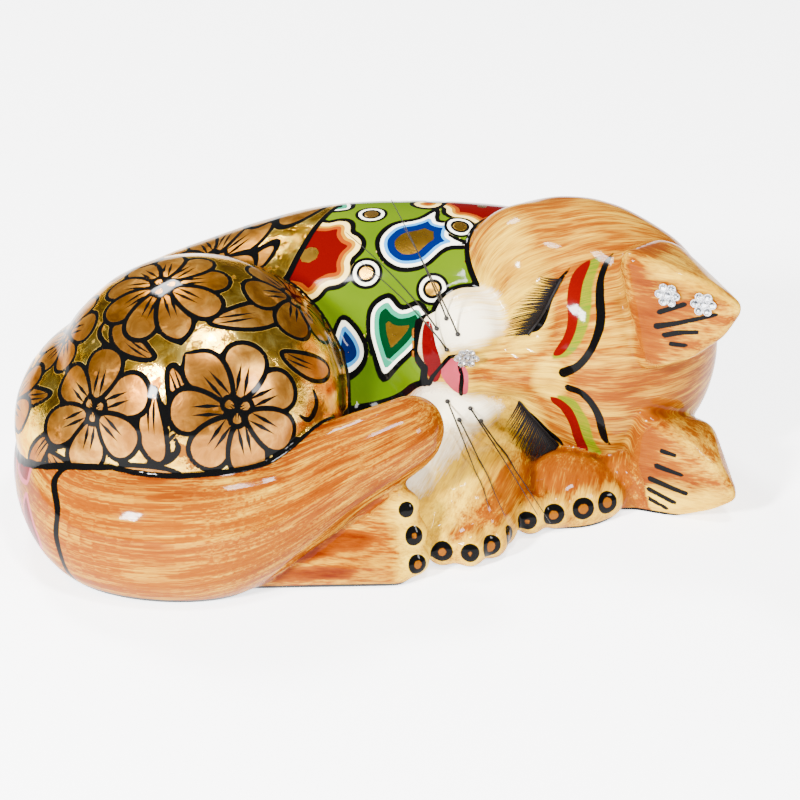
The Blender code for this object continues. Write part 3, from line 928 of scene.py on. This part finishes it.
# %% Rump
beyond = on_tail & (P[:, 0] < -96) & (P[:, 1] < 60)
side_on = P[beyond][:, [1, 2]]
drops = []
for place, turn, size in (
    ((-50, 22), 70, 12),
    ((-34, 40), 200, 11),
    ((-34, 16), 120, 12),
    ((-14, 30), 20, 13),
    ((4, 48), 250, 12),
    ((10, 14), 60, 13),
    ((30, 34), 150, 14),
    ((46, 12), 100, 11),
    ((-12, 8), 160, 9),
):
    drops.append(patch(local(side_on, place, turn), np.vstack([DROP, DROP[:1]]) * size))
SEAM = (
    (-55, 51, 1.2), (-57, 45, 1.2), (-67, 37, 1.2), (-70, 26, 1.1), (-70, 14, 1.0), (-64, 0, 1.0),
)
seam = on(beyond, stroke(side_on, SEAM))
kept_clear = np.interp(side_on[:, 1], (0, 14, 26, 37, 45), (-64, -70, -70, -67, -57)) + 2
drops = np.minimum(np.min(drops, axis=0), FAR)
rump = on(beyond, np.where(side_on[:, 0] < kept_clear, FAR, drops))

# %% [markdown]
# Black border lines follow the creases between painted cloth and fur, and the base. They
# are cut from the same distances as the parts, so a line can't leave its crease.

# %% Borders
border = np.minimum(np.abs(painted), np.where(d_painted < d_fur + 4, np.abs(gold), FAR))
border = np.where(painted < 3.5, border, np.abs(painted)) - np.where(on_head, 1.7, 1.3)
base = P[:, 2] - np.where(on_foot | on_tail, 2.0, 1.3)
ink = np.minimum.reduce([ink, base, border, seam])
zone = np.where(painted > 0, 0, np.where(gold < 0, 1, 2))

FLOATS = {
    "ink": ink, "red": red, "lime": lime, "white": white, "pink": pink, "lip": lip, "toe": toe,
    "cream_and_painted_light": cream_and_painted_light, "painted_shade_and_deep_orange": painted_shade_and_deep_orange, "along": along, "line": line, "back_line": back_line,
    "band": band, "kind": kind, "rump": rump, "dot": dot,
}
for name, values in FLOATS.items():
    store = cat_mesh.attributes.new(name, "FLOAT", "POINT")
    store.data.foreach_set("value", values.astype(np.float32))
for name, values in {"across": across, "petal": petal_at}.items():
    store = cat_mesh.attributes.new(name, "FLOAT_VECTOR", "POINT")
    store.data.foreach_set("vector", values.astype(np.float32).ravel())
corners = read(cat_mesh.loops, "vertex_index", 1, np.int32)[:, 0]
starts = read(cat_mesh.polygons, "loop_start", 1, np.int32)[:, 0]
cat_mesh.polygons.foreach_set("material_index", zone[corners[starts]].astype(np.int32))
cat_mesh.transform(HOME)
cat = link("painted_cat", cat_mesh)
print("zones", np.bincount(zone))

# %% [markdown]
# Materials are written as sums, because nodes wired one by one would hide the maths. A wire
# is a socket that can be added, multiplied and compared, and a recipe is a material whose
# other nodes are made by one method.

# %% Recipe tools


def paint(red, green, blue):
    """A pigment, mixed deep because the lacquer and the tone curve both lighten it."""
    return red, green, blue, 1.0


class Wire:
    """A socket that does sums."""

    def __init__(self, recipe, socket):
        self.recipe, self.socket = recipe, socket

    def sum(self, operation, *others):
        values = dict(enumerate((self, *others)))
        return self.recipe.node("ShaderNodeMath", {"operation": operation}, values)

    def __add__(self, other):
        return self.sum("ADD", other)

    __radd__ = __add__

    def __mul__(self, other):
        return self.sum("MULTIPLY", other)

    __rmul__ = __mul__

    def __sub__(self, other):
        return self.sum("SUBTRACT", other)

    def __rsub__(self, other):
        return (self * -1.0) + other

    def __truediv__(self, other):
        return self.sum("DIVIDE", other)

    def __abs__(self):
        return self.sum("ABSOLUTE")

    def __gt__(self, other):
        return self.sum("GREATER_THAN", other)

    def __lt__(self, other):
        return self.sum("LESS_THAN", other)

    def least(self, other):
        return self.sum("MINIMUM", other)

    def most(self, other):
        return self.sum("MAXIMUM", other)

    def under(self, edge=0.0, blur=0.25):
        """One below an edge and nothing above it, with a slightly soft step."""
        return ((edge - self) / blur + 0.5).least(1.0).most(0.0)


class Recipe:
    """A material under construction."""

    def __init__(self, name, **settings):
        self.material = bpy.data.materials.new(name)
        self.material.use_nodes = True
        self.tree = self.material.node_tree
        self.shader = self.tree.nodes["Principled BSDF"]
        for key, value in settings.items():
            self.shader.inputs[key.replace("_", " ")].default_value = value

    def plug(self, value, socket):
        if isinstance(value, Wire):
            self.tree.links.new(value.socket, socket)
        else:
            socket.default_value = value

    def node(self, kind, settings=None, inputs=None, output=0):
        made = self.tree.nodes.new(kind)
        for key, value in (settings or {}).items():
            setattr(made, key, value)
        for key, value in (inputs or {}).items():
            self.plug(value, made.inputs[key])
        return Wire(self, made.outputs[output])

    def field(self, name, output="Fac"):
        return self.node("ShaderNodeAttribute", {"attribute_name": name}, output=output)

    def mix(self, factor, a, b):
        settings = {"data_type": "RGBA", "clamp_factor": True}
        return self.node("ShaderNodeMix", settings, {"Factor": factor, 6: a, 7: b}, output=2)

    def ramp(self, factor, *stops, kind="LINEAR"):
        made = self.node("ShaderNodeValToRGB", inputs={0: factor})
        bar = made.socket.node.color_ramp
        bar.interpolation = kind
        while len(bar.elements) < len(stops):
            bar.elements.new(0.5)
        for element, (place, tint) in zip(bar.elements, stops):
            element.position = place
            element.color = tint
        return made

    def noise(self, scale, detail=2.0, vector=None, w=None, roughness=0.5, distortion=0.0):
        inputs = {"Scale": scale, "Detail": detail, "Roughness": roughness}
        inputs["Distortion"] = distortion
        inputs["Vector"] = vector or self.node("ShaderNodeTexCoord", output=3)
        if w is not None:
            inputs["W"] = w
        settings = {"noise_dimensions": "4D" if w is not None else "3D"}
        return self.node("ShaderNodeTexNoise", settings, inputs)

    def bump(self, height, distance, strength):
        inputs = {"Height": height, "Distance": distance, "Strength": strength}
        return self.node("ShaderNodeBump", {}, inputs)

    def finish(self, **values):
        for key, value in values.items():
            self.plug(value, self.shader.inputs[key.replace("_", " ")])
        return self.material


BLACK = paint(0.0015, 0.0015, 0.0015)

# %% [markdown]
# Fur. Two sizes of streak run along the brush chart. The face paint lies over them in the
# order it was painted, and black goes on last. The lacquer bends light less than a real one,
# because a strong coat would veil the pigments in white.

# %% Fur
LACQUER = {"Coat_Roughness": 0.07, "Coat_IOR": 1.2, "Specular_IOR_Level": 0.0}
fur = Recipe("fur", **LACQUER)
across_at = fur.field("across", "Vector")
run_at = fur.field("along")
streak = fur.noise(0.3, 3.0, across_at, run_at * 0.13, 0.6)
hair = fur.noise(1.5, 2.0, across_at, run_at * 0.05, 0.6)
cloud = fur.noise(0.07, 2.0, across_at, run_at * 0.4)
# The painted shade and deep orange field darkens the tone.
tone = streak * 0.4 + hair * 0.28 + cloud * 0.32 - fur.field("painted_shade_and_deep_orange") * 0.12
coat = fur.ramp(
    tone,
    (0.2, paint(0.075, 0.007, 0.0)),
    (0.34, paint(0.13, 0.024, 0.0)),
    (0.45, paint(0.18, 0.043, 0.0)),
    (0.57, paint(0.25, 0.075, 0.0)),
    (0.72, paint(0.36, 0.14, 0.0)),
)
# The cream field carries painted light on ridges and painted shade in hollows too.
creamy = fur.field("cream_and_painted_light") * 1.1 + (hair - 0.5) * 1.3 + (streak - 0.5) * 1.8 + 0.04
creams = fur.mix(cloud * 2.0 - 0.5, paint(0.44, 0.22, 0.0), paint(0.74, 0.49, 0.03))
coat = fur.mix(creamy, coat, creams)
wobble = (fur.noise(90, 1.0) - 0.5) * 0.9
puff = fur.field("white") + (hair - 0.5) * 9.0 + (streak - 0.5) * 6.0
coat = fur.mix(((2.0 - puff) / 6.0).least(0.95).most(0.0), coat, paint(0.93, 0.84, 0.62))
lime_mix = fur.mix(hair * 2.0 - 0.7, paint(0.06, 0.115, 0.0), paint(0.22, 0.15, 0.0))
red_mix = fur.mix(cloud, paint(0.075, 0.0, 0.0002), paint(0.1, 0.0005, 0.0005))
CARMINE = paint(0.085, 0.0, 0.001)
for name, shake, edge, blur, pigment in (
    ("lime", 1.0, -0.2, 0.9, lime_mix),
    ("red", 0.5, 0.0, 0.3, red_mix),
    ("pink", 0.4, 0.0, 0.3, paint(0.3, 0.035, 0.055)),
    ("lip", 0.4, 0.0, 0.3, CARMINE),
    ("rump", 1.0, 0.0, 0.3, paint(0.32, 0.05, 0.07)),
    ("rump", 1.0, -1.8, 0.3, CARMINE),
    ("toe", 1.6, 0.4, 0.3, BLACK),
    ("toe", 2.6, -2.2, 0.3, paint(0.14, 0.04, 0.0)),
    ("ink", 0.7, 0.0, 0.25, BLACK),
):
    covered = (fur.field(name) + wobble * shake).under(edge, blur)
    coat = fur.mix(covered, coat, pigment)
cat_mesh.materials.append(
    fur.finish(
        Base_Color=coat,
        Roughness=0.4 + hair * 0.15,
        Coat_Weight=0.55 - cloud * 0.1,
        Normal=fur.bump(hair + streak * 0.5 + covered * 0.4, 0.0003, 0.5),
    )
)

# %% [markdown]
# Gold leaf. The leaf is crinkled foil, worn through to ochre in places. Petals are painted
# on it in a duller copper gold, with a few dashes at their roots, then outlined in black.

# %% Gold leaf
gilt = Recipe("gold_leaf", Specular_Tint=(0.7, 0.45, 0.12, 1.0), **LACQUER)
crinkle = gilt.noise(130, 6.0, roughness=0.65, distortion=0.6)
sheets = gilt.noise(28, 3.0)
worn = (gilt.noise(60, 5.0, roughness=0.7) * 0.7 + sheets * 0.3).under(0.395, 0.03)
apart = gilt.node("ShaderNodeSeparateXYZ", inputs={0: gilt.field("petal", "Vector")})
up_petal, over_petal, is_petal = (Wire(gilt, out) for out in apart.socket.node.outputs)
wobble = (gilt.noise(90, 1.0) - 0.5) * 0.9
painted_petal = is_petal > 0.5
tip = abs(up_petal - (0.33 + (crinkle - 0.5) * 0.05)) * 0.16
dashes = (abs(0.085 - over_petal.sum("PINGPONG", 0.17)) + tip).under(0.046, 0.008)
dashes = dashes * abs(over_petal).under(0.2, 0.02) * painted_petal
leaf_tint = gilt.ramp(
    crinkle,
    (0.35, paint(0.38, 0.18, 0.008)),
    (0.5, paint(0.66, 0.37, 0.03)),
    (0.65, paint(0.9, 0.62, 0.12)),
)
leaf_tint = gilt.mix(worn, leaf_tint, paint(0.16, 0.05, 0.001))
copper = gilt.ramp(
    sheets * 0.5 + crinkle * 0.5,
    (0.38, paint(0.16, 0.055, 0.005)),
    (0.5, paint(0.28, 0.11, 0.014)),
    (0.62, paint(0.48, 0.23, 0.04)),
)
tint = gilt.mix(painted_petal, leaf_tint, copper)
black_at = (gilt.field("line") - 1.15 + wobble * 0.6).under()
black_at = black_at.most((gilt.field("ink") + wobble * 0.7).under()).most(dashes)
tint = gilt.mix(black_at, tint, BLACK)
metal = (1.0 - black_at) * (1.0 - worn * 0.6) * (1.0 - painted_petal * 0.1)
cat_mesh.materials.append(
    gilt.finish(
        Base_Color=tint,
        Metallic=metal,
        Roughness=(0.13 + crinkle * 0.1) + painted_petal * 0.13 + black_at * 0.15,
        Coat_Weight=0.45 + black_at * 0.1,
        Normal=gilt.bump(crinkle * (1.0 - painted_petal * 0.5), 0.0008, 0.5),
    )
)

# %% [markdown]
# The back. The kind of motif picks a set of rings, and the distance in from its outline
# picks the ring. The gold hearts are leaf, the rest is flat paint.

# %% Back panel
cloth = Recipe("painted_back", **LACQUER)
wobble = (cloth.noise(70, 2.0) - 0.5) * 1.4
inward = (cloth.field("band") + wobble * 0.5) / 20.0
kind_at = cloth.field("kind")
CREAM, YELLOW = paint(0.85, 0.6, 0.16), paint(0.34, 0.14, 0.0)
ORANGE, SCARLET = paint(0.21, 0.032, 0.0), paint(0.08, 0.0, 0.0002)
WHITE, GILT = paint(0.93, 0.9, 0.72), paint(0.4, 0.2, 0.015)
TURQUOISE, LEAF = paint(0.01, 0.22, 0.12), paint(0.0003, 0.02, 0.005)
SKY, COBALT = paint(0.03, 0.22, 0.5), paint(0.0006, 0.006, 0.06)
limes = paint(0.035, 0.08, 0.0), paint(0.09, 0.14, 0.0)
RINGS = {
    WARM: ((0.0, CREAM), (0.17, YELLOW), (0.24, ORANGE), (0.33, SCARLET), (0.8, GILT)),
    GREEN: ((0.0, WHITE), (0.125, TURQUOISE), (0.22, LEAF), (0.37, GILT)),
    BLUE: ((0.0, WHITE), (0.13, SKY), (0.2, COBALT), (0.36, GILT)),
}
tint = cloth.mix(cloth.noise(20, 2.0) * 1.6 - 0.3, *limes)
hearts = []
for flavour, rings in RINGS.items():
    is_kind = kind_at > flavour - 0.5
    tint = cloth.mix(is_kind, tint, cloth.ramp(inward, *rings, kind="CONSTANT"))
    hearts.append(is_kind * (kind_at < flavour + 0.5) * (inward > rings[-1][0]))
dot_here = cloth.field("dot") + wobble * 0.5
black_disc = dot_here.under(7.0)
tint = cloth.mix(black_disc, tint, BLACK)
tint = cloth.mix(dot_here.under(5.6) * (1.0 - dot_here.under(4.2)), tint, WHITE)
gold_disc = dot_here.under(2.9)
tint = cloth.mix(gold_disc, tint, GILT)
heart = reduce(Wire.most, hearts) * (1.0 - black_disc) + gold_disc
black_at = (cloth.field("back_line") - 1.1 + wobble * 0.4).under()
black_at = black_at * (1.0 - black_disc)
black_at = black_at.most((cloth.field("ink") + wobble * 0.4).under())
tint = cloth.mix(black_at, tint, BLACK)
flakes = cloth.noise(150, 5.0, roughness=0.6)
cat_mesh.materials.append(
    cloth.finish(
        Base_Color=tint,
        Metallic=heart * (1.0 - black_at),
        Roughness=0.22 + flakes * 0.12,
        Coat_Weight=0.5 + flakes * 0.1,
        Normal=cloth.bump(flakes * (0.15 + heart) + black_at * 0.5, 0.0005, 0.4),
    )
)
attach(cat, "root")
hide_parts("cat_body")
print("painted cat", len(cat_mesh.materials), "materials")

# %% [markdown]
# What is stuck on needs the finished skin: where a line into the face meets it, and how far
# any point is from it. The mesh itself is asked, because places written down by hand would
# sink in or float when the clay changes.

# %% Skin
surface = bmesh.new()
surface.from_mesh(cat_mesh)
SKIN = BVHTree.FromBMesh(surface)
surface.free()
FACE = HOME @ HEAD


def face_at(side, crown):
    """Where a line into the face meets the skin, and which way is out there."""
    start = FACE @ at(side, 58, crown)
    return SKIN.ray_cast(start, FACE.to_3x3() @ Vector((0, -1, 0)))[:2]


def gap(point):
    """How far outside the skin a point is, and which way is out there."""
    near, normal, _, distance = SKIN.find_nearest(point)
    return math.copysign(distance, (point - near).dot(normal)), normal


def clear(point, room):
    """The point, moved out until it has room."""
    for _ in range(6):
        space, normal = gap(point)
        if space >= room:
            break
        point = point + normal * (room - space)
    return point


def add_rod(clay, points, radii, sides, outward=None):
    """Adds a tapered rod along points. With a way out it is a strip."""
    rings = []
    last = len(points) - 1
    side = None
    for i, point in enumerate(points):
        way = (points[min(i + 1, last)] - points[max(i - 1, 0)]).normalized()
        up = outward[i] if outward else (side or way.orthogonal())
        up = (up - way * up.dot(way)).normalized()
        side = up
        turn = Matrix((way.cross(up), up, way)).transposed().to_4x4()
        flat = Matrix.Diagonal((1, 0.4 if outward else 1, 1, 1))
        place = Matrix.Translation(point) @ turn @ flat
        ring = bmesh.ops.create_circle(clay, radius=radii[i], segments=sides, matrix=place)
        rings.append(list({e for v in ring["verts"] for e in v.link_edges}))
    for a, b in zip(rings, rings[1:]):
        bmesh.ops.bridge_loops(clay, edges=a + b)
    bmesh.ops.holes_fill(clay, edges=rings[0] + rings[-1])


def shaded(recipe, scale, detail, low, high, **values):
    """Finishes a recipe whose colour runs from low to high with a fine grain."""
    grain = recipe.noise(scale, detail)
    values = {key: base + grain * swing for key, (base, swing) in values.items()}
    return recipe.finish(Base_Color=recipe.mix(grain, low, high), **values)


def piece(name, clay, node, material, smooth=True):
    bmesh.ops.recalc_face_normals(clay, faces=clay.faces)
    for face in clay.faces:
        face.smooth = smooth
    mesh = mesh_of(clay, name)
    mesh.materials.append(material)
    obj = link(name, mesh)
    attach(obj, "root")
    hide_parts(node)
    return obj


# %% [markdown]
# The real whiskers are stiff black hairs, each stuck into the muzzle in a drop of black
# lacquer. A bevelled curve would do for a hair in the air, but these pass close over the
# face. So each is a rod through points that are moved clear of the skin, thinning to the
# tip.

# %% Whiskers
BRISTLE = shaded(
    Recipe("bristle", Specular_IOR_Level=0.25),
    900,
    3.0,
    paint(0.003, 0.003, 0.003),
    paint(0.015, 0.012, 0.01),
    Roughness=(0.3, 0.2),
)
WHISKER_LENGTH = 0.062
WHISKER_STEPS = 14
CLEARANCE = 0.0003
WHISKERS = {
    "upper": (
        ((22, -45), (-37, -8, 46), (2, 0, 2)),
        ((14, -40), (-34, -15, 44), (2, 0, 2)),
        ((27, -41), (-21, -6, 51), (1, 0, 1)),
        ((22, -35), (-21, -13, 50), (1, 0, 1)),
    ),
    "lower": (
        ((-12, -41), (17, -57, -23), (0, -2, 2)),
        ((-19, -35), (19, -61, -17), (0, -2, 2)),
        ((-14, -31), (31, -56, -29), (0, -2, 2)),
        ((-20, -27), (30, -54, -24), (0, -2, 2)),
    ),
}
for row, hairs in WHISKERS.items():
    for number, (root, way, bow) in enumerate(hairs):
        clay = bmesh.new()
        point, normal = face_at(*root)
        way = Vector(way).normalized()
        points, radii = [], []
        for i in range(WHISKER_STEPS + 1):
            t = i / WHISKER_STEPS
            bend = Vector(bow) / 50 * (t - t * t) * 2
            ideal = point + (way * (t + 0.012) + bend) * WHISKER_LENGTH / 1.02
            points.append(clear(ideal, CLEARANCE + 0.00045 * (1 - t)))
            radii.append(0.00042 * (1 - 0.62 * t))
        add_rod(clay, points, radii, 8)
        lacquer_drop = Matrix.Diagonal((0.0011, 0.0011, 0.001, 1))
        knot = Matrix.Translation(point + normal * 0.0004) @ lacquer_drop
        bmesh.ops.create_icosphere(clay, subdivisions=3, radius=1, matrix=knot)
        name = f"whisker_{row}_{number + 1}"
        piece(name + "_hair", clay, name, BRISTLE)
print("whiskers 8")

# %% [markdown]
# The real lashes are false ones: a strip glued along the closed lid, and a fringe of fine
# curved hairs. A picture of hairs on a card would look flat from the side, so every hair is
# a fine rod with five sides, and they stand in tufts of three.

# %% Lashes
FIBRE = shaded(
    Recipe("lash_fibre", Specular_IOR_Level=0.1),
    1500,
    2.0,
    paint(0.002, 0.002, 0.002),
    paint(0.008, 0.006, 0.006),
    Roughness=(0.42, 0.2),
)
LASH_LENGTH = 0.027
LASH_HAIR = 0.013
LASH_SAG = 1.0
STRIP_STEPS = 24
EYES = {
    "upper": ((17, -11), (44, 2), (0.05, 0.5, -0.86)),
    "lower": ((-13, -12), (-33, 1), (-0.8, 0.55, -0.2)),
}
TUFTS = 30
rng = np.random.default_rng(7)
for row, (inner, outer, reach) in EYES.items():
    middle = (Vector(inner) + Vector(outer)) / 2
    half = (Vector(outer) - Vector(inner)).normalized() * (LASH_LENGTH / GRID / 2)
    reach = (FACE.to_3x3() @ Vector(reach)).normalized()
    strip, ways = [], []
    for i in range(STRIP_STEPS + 1):
        t = 2 * i / STRIP_STEPS - 1
        point, normal = face_at(*(middle + half * t + Vector((0, LASH_SAG)) * (1 - t * t)))
        strip.append(clear(point, 2 * CLEARANCE))
        ways.append(normal)
    clay = bmesh.new()
    add_rod(clay, strip, [0.0007] * len(strip), 8, ways)
    lean = (strip[-1] - strip[0]).normalized()
    for tuft in range(TUFTS):
        middle_of = (tuft + 0.5) / TUFTS
        share = (0.72 + 0.28 * math.sin(math.pi * middle_of)) * rng.uniform(0.88, 1.04)
        tip = lean * (rng.uniform(-0.05, 0.05) + (middle_of - 0.5) * 0.35)
        for spread in (-0.34, 0.0, 0.34):
            t = min(max(middle_of + (spread + rng.uniform(-0.06, 0.06)) / TUFTS, 0.001), 0.999)
            k = t * STRIP_STEPS
            root = strip[int(k)].lerp(strip[int(k) + 1], k - int(k))
            out = ways[int(k)]
            gather = -lean * spread * 0.0008
            points = []
            for step in (0.0, 0.25, 0.5, 0.75, 1.0):
                bend = (reach + tip * step) * step + out * 0.36 * step * step
                bend = bend * LASH_HAIR * share * (1 - abs(spread) * 0.2)
                points.append(clear(root + bend + gather * step, 0.0004 + 0.0005 * step))
            add_rod(clay, points, [0.00017, 0.00017, 0.00015, 0.00011, 0.00005], 5)
    lash_obj = piece(f"lash_{row}_fringe", clay, f"lash_{row}", FIBRE)
    print(lash_obj.name, len(lash_obj.data.polygons))

# %% [markdown]
# The real rhinestone flowers are seven cut stones, each in a metal cup, on a small plate.
# Foil behind a stone keeps it from being seen through, so the stones are half mirror and
# half gloss in place of glass, and their facets are real faces, left flat. Their colour is
# speckled from near black to white: painted glints and dark reflections.

# %% Rhinestones
stone = Recipe("cut_stone", Coat_Weight=0.5, IOR=1.9)
# Painted glints: fine specks of white and near black in the stones' colour.
painted_glints = stone.noise(900, 2.0)
stone_tint_with_glints = stone.ramp(
    painted_glints,
    (0.38, paint(0.06, 0.065, 0.08)),
    (0.5, paint(0.5, 0.53, 0.58)),
    (0.62, paint(0.98, 0.98, 0.98)),
)
CUT_STONE = stone.finish(
    Base_Color=stone_tint_with_glints, Metallic=0.55 + painted_glints * 0.4, Roughness=0.03 + painted_glints * 0.08
)
CUP = shaded(
    Recipe("cup_metal", Coat_Weight=0.2),
    1200,
    3.0,
    paint(0.35, 0.35, 0.37),
    paint(0.75, 0.75, 0.78),
    Metallic=(1.0, -0.1),
    Roughness=(0.18, 0.2),
)
GEMS = {"gem_nose": (12, -32), "gem_ear_inner": (48, 51), "gem_ear_outer": (46, 66)}
GEM_WIDTH = 0.0108
STONE = GEM_WIDTH / 6
STONE_SIDES = 8
LIFT_STEP = 0.00005


def shifted(x, y, z):
    return Matrix.Translation((x, y, z))


def disc(clay, sides, low, high, depth, place=Matrix.Identity(4)):
    """A low cone, its radii and depth given in stones."""
    bmesh.ops.create_cone(
        clay,
        cap_ends=True,
        segments=sides,
        radius1=STONE * low,
        radius2=STONE * high,
        depth=STONE * depth,
        matrix=place,
    )


spots = [(0, 0)]
for i in range(6):
    a = math.tau * i / 6
    spots.append((math.cos(a) * STONE * 2, math.sin(a) * STONE * 2))
for name, (side, crown) in GEMS.items():
    point, normal = face_at(side, crown)
    turn = normal.to_track_quat("Z", "Y").to_matrix().to_4x4()
    setting, stones = bmesh.new(), bmesh.new()
    disc(setting, 36, 2.3, 2.2, 0.4)
    for x, y in spots:
        disc(setting, 24, 0.9, 0.99, 0.36, shifted(x, y, STONE * 0.36))
        for k in range(8):
            a = math.tau * (k + 0.5) / 8
            out = STONE * 0.93
            bead = shifted(x + math.cos(a) * out, y + math.sin(a) * out, STONE * 0.58)
            bmesh.ops.create_icosphere(setting, subdivisions=1, radius=STONE * 0.12, matrix=bead)
        disc(stones, STONE_SIDES, 0.86, 0.8, 0.12, shifted(x, y, STONE * 0.62))
        half_side = Matrix.Rotation(math.pi / STONE_SIDES, 4, "Z")
        disc(stones, STONE_SIDES, 0.8, 0.42, 0.26, shifted(x, y, STONE * 0.8) @ half_side)
    lift = 0.0
    for _ in range(200):
        place = Matrix.Translation(point + normal * (STONE * 0.2 + lift)) @ turn
        if min(gap(place @ v.co)[0] for v in setting.verts) >= 0.0001:
            break
        lift += LIFT_STEP
    for clay in (setting, stones):
        bmesh.ops.transform(clay, matrix=place, verts=clay.verts)
    piece(name + "_setting", setting, name, CUP, smooth=False)
    piece(name + "_stones", stones, name, CUT_STONE, smooth=False)
print("rhinestone flowers 3")

# %% [markdown]
# The studio of the photograph is white, with small hard highlights on the lacquer. So there
# is a pale floor that glows, four small bright lamps for the lacquer to mirror, and a
# camera that looks down at the cat.

# %% Studio
FLOOR_GLOW = {"Emission_Color": (1, 1, 1, 1), "Emission_Strength": 2.4}
floor_paint = Recipe("floor", Roughness=0.6, Specular_IOR_Level=0.0, **FLOOR_GLOW)
floor_clay = bmesh.new()
bmesh.ops.create_grid(floor_clay, x_segments=1, y_segments=1, size=4)
floor = link("floor", mesh_of(floor_clay, "floor"))
floor.data.materials.append(floor_paint.finish(Base_Color=paint(0.95, 0.95, 0.95)))
floor.location.z = LOW[2] - 0.0002


def aim_along(obj, place, way):
    obj.location = place
    obj.rotation_mode = "QUATERNION"
    obj.rotation_quaternion = way.to_track_quat("-Z", "Y")


def softbox(name, place, aim, size, power):
    light = bpy.data.lights.new(name, "AREA")
    light.shape = "RECTANGLE"
    light.size, light.size_y = size
    light.energy = power
    aim_along(link(name, light), place, Vector(aim) - Vector(place))


softbox("key", (-0.85, -1.1, 0.8), (0, 0, 0.05), (0.17, 0.26), 120)
softbox("back", (-0.5, 0.95, 1.3), (0, 0, 0), (0.3, 0.3), 42)
softbox("top", (0.25, -0.45, 1.6), (0, 0, 0.05), (0.22, 0.22), 38)
softbox("fill", (1.1, -0.8, 0.8), (0, 0, 0.05), (0.2, 0.3), 22)
world = bpy.data.worlds.new("studio")
world.use_nodes = True
world.node_tree.nodes["Background"].inputs[0].default_value = (0.9, 0.95, 1.0, 1)
world.node_tree.nodes["Background"].inputs[1].default_value = 0.25
bpy.context.scene.world = world
EYE_TILT = math.radians(26)
EYE_DISTANCE = 1.3
VIEW_WIDTH = 0.336
VIEW_MIDDLE = (0.01045, -0.0181, 0.0528)
SENSOR = 36
lens = bpy.data.cameras.new("camera")
lens.sensor_width = SENSOR
lens.lens = SENSOR * EYE_DISTANCE / VIEW_WIDTH
lens.clip_start = 0.01
camera = link("camera", lens)
back_off = Vector((0, -math.cos(EYE_TILT), math.sin(EYE_TILT)))
aim_along(camera, Vector(VIEW_MIDDLE) + back_off * EYE_DISTANCE, -back_off)
bpy.context.scene.camera = camera
